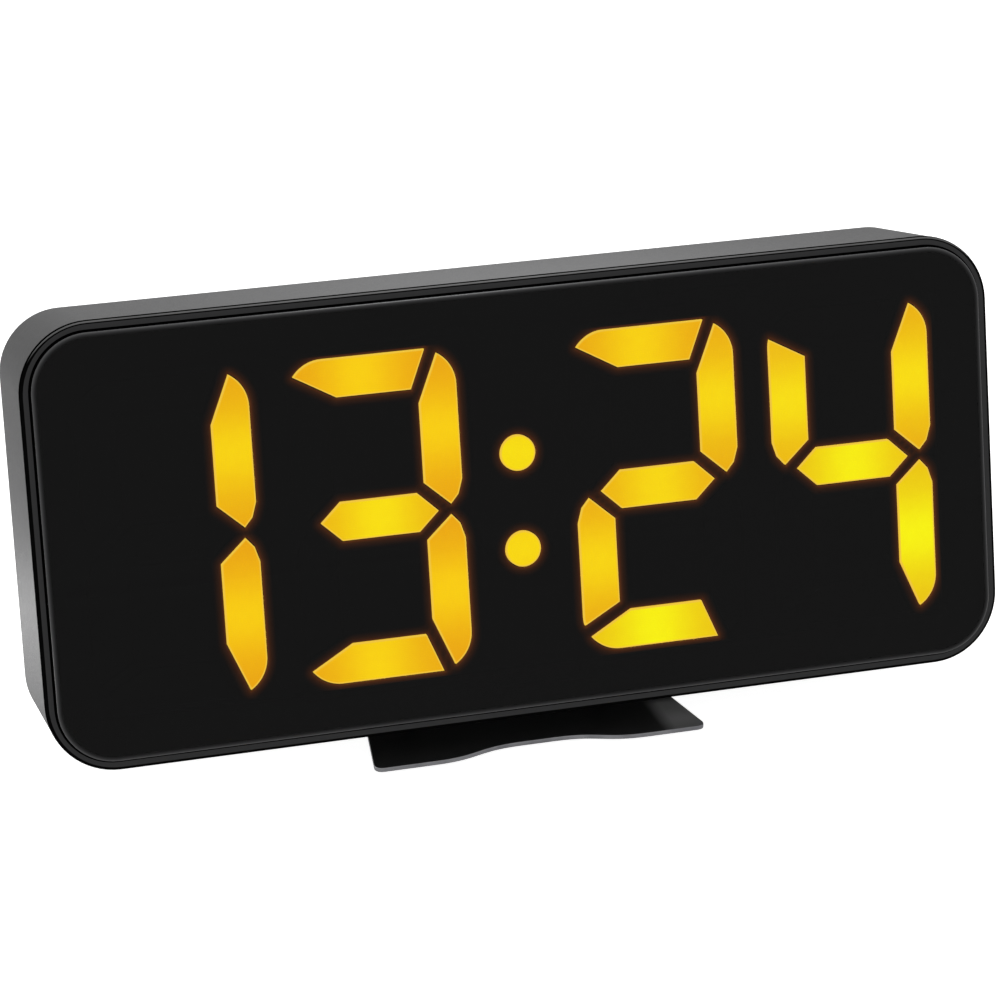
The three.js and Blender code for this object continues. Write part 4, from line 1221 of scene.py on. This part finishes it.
def make_casing():
    outer = face_slab(0, (CASING_FRONT, CASING_BACK))
    draw_in(outer, draft_at)
    bevel(outer, rim_edges(outer, CASING_BACK), CASING_ROUND, steps=6)
    bevel(outer, rim_edges(outer, CASING_FRONT), CASING_EDGE, steps=3)
    cavity = face_slab(SIDE_WALL, (CASING_FRONT - OVERRUN, INNER_BACK))
    draw_in(cavity, draft_at)
    lip = face_slab(LIP_WALL, (CASING_FRONT - OVERRUN, SPIGOT_END + GAP))
    root = INNER_BACK + BACK_WALL / 2
    posts = [rod(CASING_POST_RADIUS, (SCREW_FLOOR_FRONT, root), p.x, p.z) for p in CASING_SCREWS]
    posts += [rod(POST_RADIUS, (BOARD_BACK + GAP, root), p.x, p.z) for p in BOARD_SCREWS]
    shell = joined(cut(outer, cavity, lip), *posts, *hinge_bosses())
    tools = []
    for place in CASING_SCREWS:
        tools.append(rod(SCREW_RECESS, (SCREW_FLOOR_BACK, CASING_BACK + OVERRUN), place.x, place.z))
        pilot = (SCREW_FLOOR_FRONT - OVERRUN, SCREW_FLOOR_BACK + OVERRUN)
        tools.append(rod(PILOT_RADIUS, pilot, place.x, place.z, SMALL_SIDES))
    for place in BOARD_SCREWS:
        tools.append(rod(PILOT_RADIUS, (BOARD_BACK, INNER_BACK), place.x, place.z, SMALL_SIDES))
    tools += round_through(INLET_MOUTH, INLET.x, INLET.z)
    tools += key_cuts() + slider_cuts() + door_cuts() + air_cuts() + hinge_cuts()
    shell = cut(shell, *tools)
    paint(shell, casing_material)
    return shell


def casing_material(middle, normal):
    """0 outside, 1 inside, 2 on the front lip that meets the frame, painted black as the shade of
    the parting gap.
    """
    if middle.y < CASING_FRONT + CASING_EDGE and normal.y < -0.3:
        return 2
    depth = depth_inside(middle)[0] - draft_at(middle.y)
    return 1 if depth > 0.9 and middle.y < INNER_BACK + NEAR else 0


# Keys, slider, door, inlet and screws

def make_key(place, mark):
    flange_height = KEY_HEIGHT + 2 * KEY_FLANGE
    flange = slab(
        KEY_WIDTH + 2 * KEY_FLANGE, flange_height, flange_height / 2 - STADIUM_FLAT,
        (KEY_FRONT, UNDER_WALL), place.x, place.z,
    )
    cap = slab(
        KEY_WIDTH, KEY_HEIGHT, KEY_HEIGHT / 2 - STADIUM_FLAT,
        (UNDER_WALL - KEY_FLANGE_DEPTH / 2, KEY_TOP), place.x, place.z,
    )
    bevel(cap, rim_edges(cap, KEY_TOP), CAP_ROUND, steps=5)
    key = joined(flange, cap, *mark(place))
    paint(key, lambda middle, _: 1 if middle.y > KEY_TOP + HAIR else 0)
    return key


MARK = 0.5
MARK_LENGTH = 2.4
MARK_DOT = 0.7
MARK_RING = 1.1
MARK_DEEP = (KEY_BACK - 0.4, KEY_BACK)


def bar_mark(place, length=MARK_LENGTH, width=MARK):
    return bar(length, width, MARK_DEEP, place.x, place.z)


def minus_mark(place):
    return [bar_mark(place)]


def plus_mark(place):
    return [bar_mark(place), bar_mark(place, MARK, MARK_LENGTH)]


def dot_mark(place):
    return [rod(MARK_DOT, MARK_DEEP, place.x, place.z)]


def ring_mark(place):
    ring = rod(MARK_RING, MARK_DEEP, place.x, place.z)
    deep = (MARK_DEEP[0] - OVERRUN, MARK_DEEP[1] + OVERRUN)
    hollow = rod(MARK_DOT, deep, place.x, place.z)
    return [cut(ring, hollow)]


def make_slider():
    at = (SLIDER.x, SLIDER.z)
    carrier = bar(
        SLIDER_GRIP + 2 * (SLIDER_FLANGE + SLIDER_TRAVEL), SLIDER_HEIGHT + 2 * SLIDER_FLANGE,
        (UNDER_WALL - KEY_FLANGE_DEPTH, UNDER_WALL), *at,
    )
    root = UNDER_WALL - KEY_FLANGE_DEPTH / 2
    stem = bar(SLIDER_STEM, SLIDER_STEM, (SLIDER_LOW.y, root), *at)
    grip = slab(SLIDER_GRIP, SLIDER_HEIGHT, GRIP_CORNER, (root, SLIDER_HIGH.y), *at, steps=4)
    bevel(grip, rim_edges(grip, SLIDER_HIGH.y), GRIP_ROUND, steps=3)
    deep = (SLIDER_HIGH.y - GROOVE_DEPTH, SLIDER_HIGH.y + OVERRUN)
    grooves = [
        bar(GROOVE_WIDTH, 2 * SLIDER_HEIGHT, deep, SLIDER.x + step * GROOVE_PITCH, SLIDER.z)
        for step in (-1, 0, 1)
    ]
    return cut(joined(carrier, stem, grip), *grooves)


def make_door():
    low = limits("battery_door")[0]
    flange = rod(DOOR_RADIUS, (CASING_BACK - DOOR_FLANGE, CASING_BACK), DOOR.x, DOOR.z, DOOR_SIDES)
    bevel(flange, rim_edges(flange, CASING_BACK), DOOR_ROUND, steps=3)
    core = rod(DOOR_CORE_RADIUS, (low.y, CASING_BACK - DOOR_FLANGE / 2), DOOR.x, DOOR.z, DOOR_SIDES)
    tab_deep = (UNDER_WALL - DOOR_TAB_DEPTH, UNDER_WALL)
    tabs = bar(2 * DOOR_REACH, DOOR_TAB_WIDTH, tab_deep, DOOR.x, DOOR.z)
    length, width, deep = COIN_SLOT
    beyond = CASING_BACK + OVERRUN
    slot = slab(
        length, width, width / 2 - STADIUM_FLAT, (CASING_BACK - deep, beyond), DOOR.x, DOOR.z,
    )
    ring_floor = CASING_BACK - DOOR_RING_DEPTH
    outer, inner = DOOR_RING
    ring = rod(outer, (ring_floor, beyond), DOOR.x, DOOR.z, DOOR_SIDES)
    island = rod(inner, (ring_floor - OVERRUN, beyond), DOOR.x, DOOR.z, DOOR_SIDES)
    return cut(joined(flange, core, tabs), slot, cut(ring, island))


def make_inlet():
    at = (INLET.x, INLET.z)
    bore = rod(INLET_BORE, (INLET_START, INLET_END + OVERRUN), *at)
    mouth = rod(
        INLET_BORE, (INLET_END - INLET_FLARE, INLET_END + INLET_FLARE), *at,
        back_radius=INLET_BORE + 2 * INLET_FLARE,
    )
    pin_end = INLET_END - INLET_PIN_INSET
    pin = rod(INLET_PIN, (INLET_START - INLET_PIN_ROOT, pin_end), *at, sides=32)
    bevel(pin, rim_edges(pin, pin_end), INLET_PIN_ROUND, steps=4)
    inlet = joined(cut(node_block("power_inlet"), bore, mouth), pin)
    paint(inlet, inlet_material)
    return inlet


def inlet_material(middle, _):
    """0 on the housing, 1 on the pin."""
    near = math.hypot(middle.x - INLET.x, middle.z - INLET.z) < INLET_PIN + NEAR
    return 1 if near and middle.y > INLET_START + HAIR else 0


HEAD_DEPTH = 1.6
HEAD_ROUND = 0.7
CROSS_ARM = (0.72, 2.7)
CROSS_DEPTH = 0.9
SHANK_RADIUS = 1.1


def make_screw(node, head_back=True):
    """A pan-headed screw with a cross recess."""
    low, high = limits(node)
    middle = (low + high) / 2
    at = (middle.x, middle.z)
    top, tip, out = (high.y, low.y, 1) if head_back else (low.y, high.y, -1)
    head = rod((high.x - low.x) / 2, sorted((top, top - out * HEAD_DEPTH)), *at)
    bevel(head, rim_edges(head, top), HEAD_ROUND, steps=5)
    deep = sorted((top - out * CROSS_DEPTH, top + out * OVERRUN))
    arms = [bar(*size, deep, *at) for size in (CROSS_ARM, CROSS_ARM[::-1])]
    shank = rod(SHANK_RADIUS, sorted((tip, top - out * HEAD_DEPTH / 2)), *at, SMALL_SIDES)
    return cut(joined(head, shank), *arms)


# Foot pieces, drawn level in millimetres from the row frame's origin

FOOT_LOW, FOOT_HIGH = limits("foot_plate", LEVEL)
PLATE_LOW = FOOT_LOW.z
PLATE_HIGH = PLATE_LOW + 0.8
PLATE_EDGE = 0.12
LUG_ROOT = 0.4
FOOT_PAD_CORNER = 1.2
FOOT_PAD_EDGE = 0.15
FOOT_FRONT = FOOT_LOW.y
FOOT_REAR = FOOT_HIGH.y
FOOT_HALF = FOOT_HIGH.x
FOOT_REAR_HALF = 24.0
FOOT_CORNER = 1.5
FOOT_REAR_CORNER = 3.0
FOOT_CORNER_STEPS = 8
FOOT_WAIST = 2.85
WAIST_FAR = 18.5
WAIST_NEAR = 3.0
LEVEL_PIN = middle_of("hinge_pin", LEVEL)
CURVE_STEPS = 14


def curve_points(points, steps=CURVE_STEPS):
    """Points along a curve with two or three control points, without its start."""
    result = []
    for step in range(1, steps + 1):
        share = step / steps
        level = [Vector(point) for point in points]
        while len(level) > 1:
            level = [a.lerp(b, share) for a, b in zip(level, level[1:])]
        result.append(level[0])
    return result


def foot_outline():
    """Two straight toes with a shallow waist between them, and sides that flare."""
    front = FOOT_FRONT
    waist = front + FOOT_WAIST
    bend = (WAIST_FAR + WAIST_NEAR) / 2
    rear = FOOT_REAR
    right = [Vector((WAIST_NEAR, waist))]
    right += curve_points([(WAIST_NEAR, waist), (bend, waist), (bend, front), (WAIST_FAR, front)])
    right.append(Vector((FOOT_HALF - FOOT_CORNER, front)))
    right += curve_points(
        [(FOOT_HALF - FOOT_CORNER, front), (FOOT_HALF, front), (FOOT_HALF, front + FOOT_CORNER)],
        FOOT_CORNER_STEPS,
    )
    right.append(Vector((FOOT_REAR_HALF, rear - FOOT_REAR_CORNER)))
    right += curve_points([
        (FOOT_REAR_HALF, rear - FOOT_REAR_CORNER), (FOOT_REAR_HALF, rear),
        (FOOT_REAR_HALF - FOOT_REAR_CORNER, rear),
    ], FOOT_CORNER_STEPS)
    left = [Vector((-point.x, point.y)) for point in reversed(right)]
    return right + left


def plan_plate(outline, low, high):
    """A flat outline of x and y points, pushed from one height to another."""
    bm = bmesh.new()
    face = bm.faces.new([bm.verts.new((point.x, point.y, low)) for point in outline])
    return pushed_out(bm, [face], (0, 0, high - low))


def level_edges(bm, height):
    return [
        edge for edge in bm.edges
        if all(abs(vertex.co.z - height) < FLUSH for vertex in edge.verts)
    ]


def make_foot():
    base = plan_plate(foot_outline(), PLATE_LOW, PLATE_HIGH)
    rims = level_edges(base, PLATE_HIGH) + level_edges(base, PLATE_LOW)
    bevel(base, rims, PLATE_EDGE, steps=2)
    lugs = []
    for span in both_sides((LUG_INNER, LUG_OUTER)):
        foot_span = (LEVEL_PIN.y - LUG_RADIUS, LEVEL_PIN.y + LUG_RADIUS)
        lugs.append(block(span, foot_span, (PLATE_HIGH - LUG_ROOT, LEVEL_PIN.z)))
        lugs.append(rod_along_x(LUG_RADIUS, span, LEVEL_PIN.y, LEVEL_PIN.z))
    reach = LUG_OUTER + OVERRUN
    bore = rod_along_x(PIN_RADIUS + GAP, (-reach, reach), LEVEL_PIN.y, LEVEL_PIN.z)
    foot = cut(joined(base, *lugs), bore)
    paint(foot, foot_material)
    return foot


def foot_material(middle, normal):
    """0 on the painted faces and lugs, 1 on the plate's cut edge."""
    level = PLATE_LOW - HAIR < middle.z < PLATE_HIGH + HAIR
    return 1 if level and abs(normal.z) < 0.9 else 0


def make_foot_pad(node):
    pad = node_block(node, LEVEL)
    uprights = [e for e in pad.edges if abs(e.verts[0].co.z - e.verts[1].co.z) > 0.1]
    bevel(pad, uprights, FOOT_PAD_CORNER, steps=6)
    bevel(pad, level_edges(pad, limits(node, LEVEL)[0].z), FOOT_PAD_EDGE, steps=2)
    return pad


# The pieces in place

add_piece("casing_shell", make_casing(), [CASING, CASING_INSIDE, BLACK_AND_GAP_SHADE],
          "casing", ["rear_casing"])
add_piece("display_frame", make_frame(), [FRAME_FACE, FRAME_SIDE, BLACK_AND_GAP_SHADE],
          "casing", ["front_frame"])
add_piece("display_lens", make_lens(), [LENS, LENS_EDGE_HIGHLIGHT, BLACK_AND_GAP_SHADE], "casing",
          ["front_lens"])
add_piece("display_mask", make_mask(), [MASK], "casing", ["segment_mask"])
for index, sights in enumerate(DIGITS):
    node = f"digit_diffuser_{index + 1}"
    add_piece(f"digit_{index + 1}", make_diffuser(sights, node), [LIT_PAD, UNLIT_PAD],
              "casing", [node])
add_piece("colon", make_diffuser(DOTS, "colon_diffuser"), [LIT_PAD, UNLIT_PAD],
          "casing", ["colon_diffuser"])
for name, mark in zip(KEY_NAMES, (dot_mark, plus_mark, minus_mark, ring_mark)):
    add_piece(f"{name}_button", make_key(KEYS[name], mark), [KEY_PLASTIC, SYMBOL_PAINT],
              f"{name}_button", [f"{name}_key"])
add_piece("alarm_slider_knob", make_slider(), [KEY_PLASTIC], "slider",
          ["alarm_slider"])
add_piece("battery_cover", make_door(), [CASING], "door", ["battery_door"])
add_piece("power_socket", make_inlet(), [CHIP_BLACK, STEEL], "casing",
          ["power_inlet"])
for index in range(1, 5):
    for kind, back in (("casing", True), ("display", True), ("board", False)):
        node = f"{kind}_screw_{index}"
        add_piece(f"{kind}_fixing_{index}", make_screw(node, back), [STEEL],
                  "casing", [node])
add_piece("foot_base", make_foot(), [FOOT_PAINT, CUT_EDGE], "foot",
          ["foot_plate"], LEVEL)
for side in ("left", "right"):
    add_piece(f"{side}_foot_strip", make_foot_pad(f"{side}_foot_pad"), [PAD_RUBBER],
              "foot", [f"{side}_foot_pad"], LEVEL)

CARRIED = {
    "reflector_block": WHITE_PLASTIC, "led_board": BOARD_LACQUER, "main_board": BOARD_LACQUER,
    "controller_chip": CHIP_BLACK, "timing_crystal": STEEL, "board_header": CHIP_BLACK,
    "smoothing_capacitor": CHIP_BLACK, "buzzer": CHIP_BLACK, "touch_electrode": COPPER,
    "touch_contact": STEEL, "cell_holder": CHIP_BLACK, "cell_contact": STEEL,
    "backup_cell": STEEL, "slide_switch": STEEL, "hinge_pin": STEEL,
    "left_friction_washer": STEEL, "right_friction_washer": STEEL,
}
for name in KEY_NAMES:
    CARRIED[f"{name}_key_plunger"] = KEY_PLASTIC
    CARRIED[f"{name}_key_switch"] = CHIP_BLACK
for node, material in CARRIED.items():
    piece = frame["nodes"][node]
    piece.data.materials.clear()
    piece.data.materials.append(material)


# Floor and surroundings

def ray_share(tree, *kinds):
    """1 for the kinds of ray that are named, and 0 for the rest."""
    path = add_node(tree, "ShaderNodeLightPath").outputs
    share = path[f"Is {kinds[0]} Ray"]
    for kind in kinds[1:]:
        share = maths(tree, "MAXIMUM", share, path[f"Is {kind} Ray"])
    return share


FLOOR_REACH = 3.0
WORLD_LEVEL = 0.75
FLOOR_GLOW_SEEN = 0.93
FLOOR_GLOW_MIRRORED = 0.38


def make_world():
    world = bpy.data.worlds.new("studio")
    bpy.context.scene.world = world
    world.use_nodes = True
    tree = world.node_tree
    seen = ray_share(tree, "Camera", "Glossy", "Transmission")
    feed(tree, tree.nodes["Background"], {
        "Strength": stretch(tree, seen, 0.0, 1.0, WORLD_LEVEL, 1.0),
        "Color": (1.0, 1.0, 1.0, 1.0),
    })


def make_floor():
    bm = bmesh.new()
    bmesh.ops.create_grid(bm, x_segments=1, y_segments=1, size=FLOOR_REACH)
    mesh = mesh_of("floor", bm)
    material, tree, shader, _ = start_material("white floor", specular=0.0)
    seen = maths(tree, "MULTIPLY", ray_share(tree, "Camera"), FLOOR_GLOW_SEEN)
    mirrored = ray_share(tree, "Glossy", "Transmission")
    mirrored = maths(tree, "MULTIPLY", mirrored, FLOOR_GLOW_MIRRORED)
    feed(tree, shader, {
        "Base Color": (0.8, 0.8, 0.8, 1.0),
        "Roughness": 1.0,
        "Emission Color": (1.0, 1.0, 1.0, 1.0),
        "Emission Strength": maths(tree, "ADD", seen, mirrored),
    })
    mesh.materials.append(material)
    stand("floor", mesh)


def soft_light(name, place, target, size, power):
    light = bpy.data.lights.new(name, "AREA")
    light.shape = "RECTANGLE"
    light.size, light.size_y = size
    light.energy = power
    lamp = stand(name, light)
    lamp.visible_camera = False
    place = Vector(place)
    lamp.location = place
    lamp.rotation_euler = (Vector(target) - place).to_track_quat("-Z", "Y").to_euler()


CAMERA_AZIMUTH = 16.923
CAMERA_HEIGHT = 22.484
CAMERA_LENS = 143.4
CAMERA_OUT = 0.65543
CAMERA_LEFT = 0.0046354
CAMERA_DOWN = 0.0002442


def make_camera():
    """The photographer's place, to the object's left and above it."""
    azimuth = math.radians(CAMERA_AZIMUTH)
    height = math.radians(CAMERA_HEIGHT)
    out = Vector((
        -math.sin(azimuth) * math.cos(height), -math.cos(azimuth) * math.cos(height),
        math.sin(height),
    ))
    right = Vector((math.cos(azimuth), -math.sin(azimuth), 0))
    up = right.cross(-out)
    data = bpy.data.cameras.new("camera")
    data.lens = CAMERA_LENS
    data.sensor_width = 36
    data.clip_start = 0.01
    camera = stand("camera", data)
    place = BODY.translation + out * CAMERA_OUT - right * CAMERA_LEFT - up * CAMERA_DOWN
    turn = Matrix((right, up, out)).transposed().to_4x4()
    camera.matrix_world = Matrix.Translation(place) @ turn
    bpy.context.scene.camera = camera


make_world()
make_floor()
make_camera()
soft_light(
    "overhead", place=(0, 0.012, 0.15), target=(0, 0.01, 0.07), size=(0.04, 0.04), power=0.055,
)
soft_light(
    "low left", place=(-0.12, 0.03, 0.0055), target=(-0.08, 0.005, 0.01), size=(0.08, 0.008),
    power=0.033,
)

bpy.context.scene.view_settings.view_transform = "Standard"
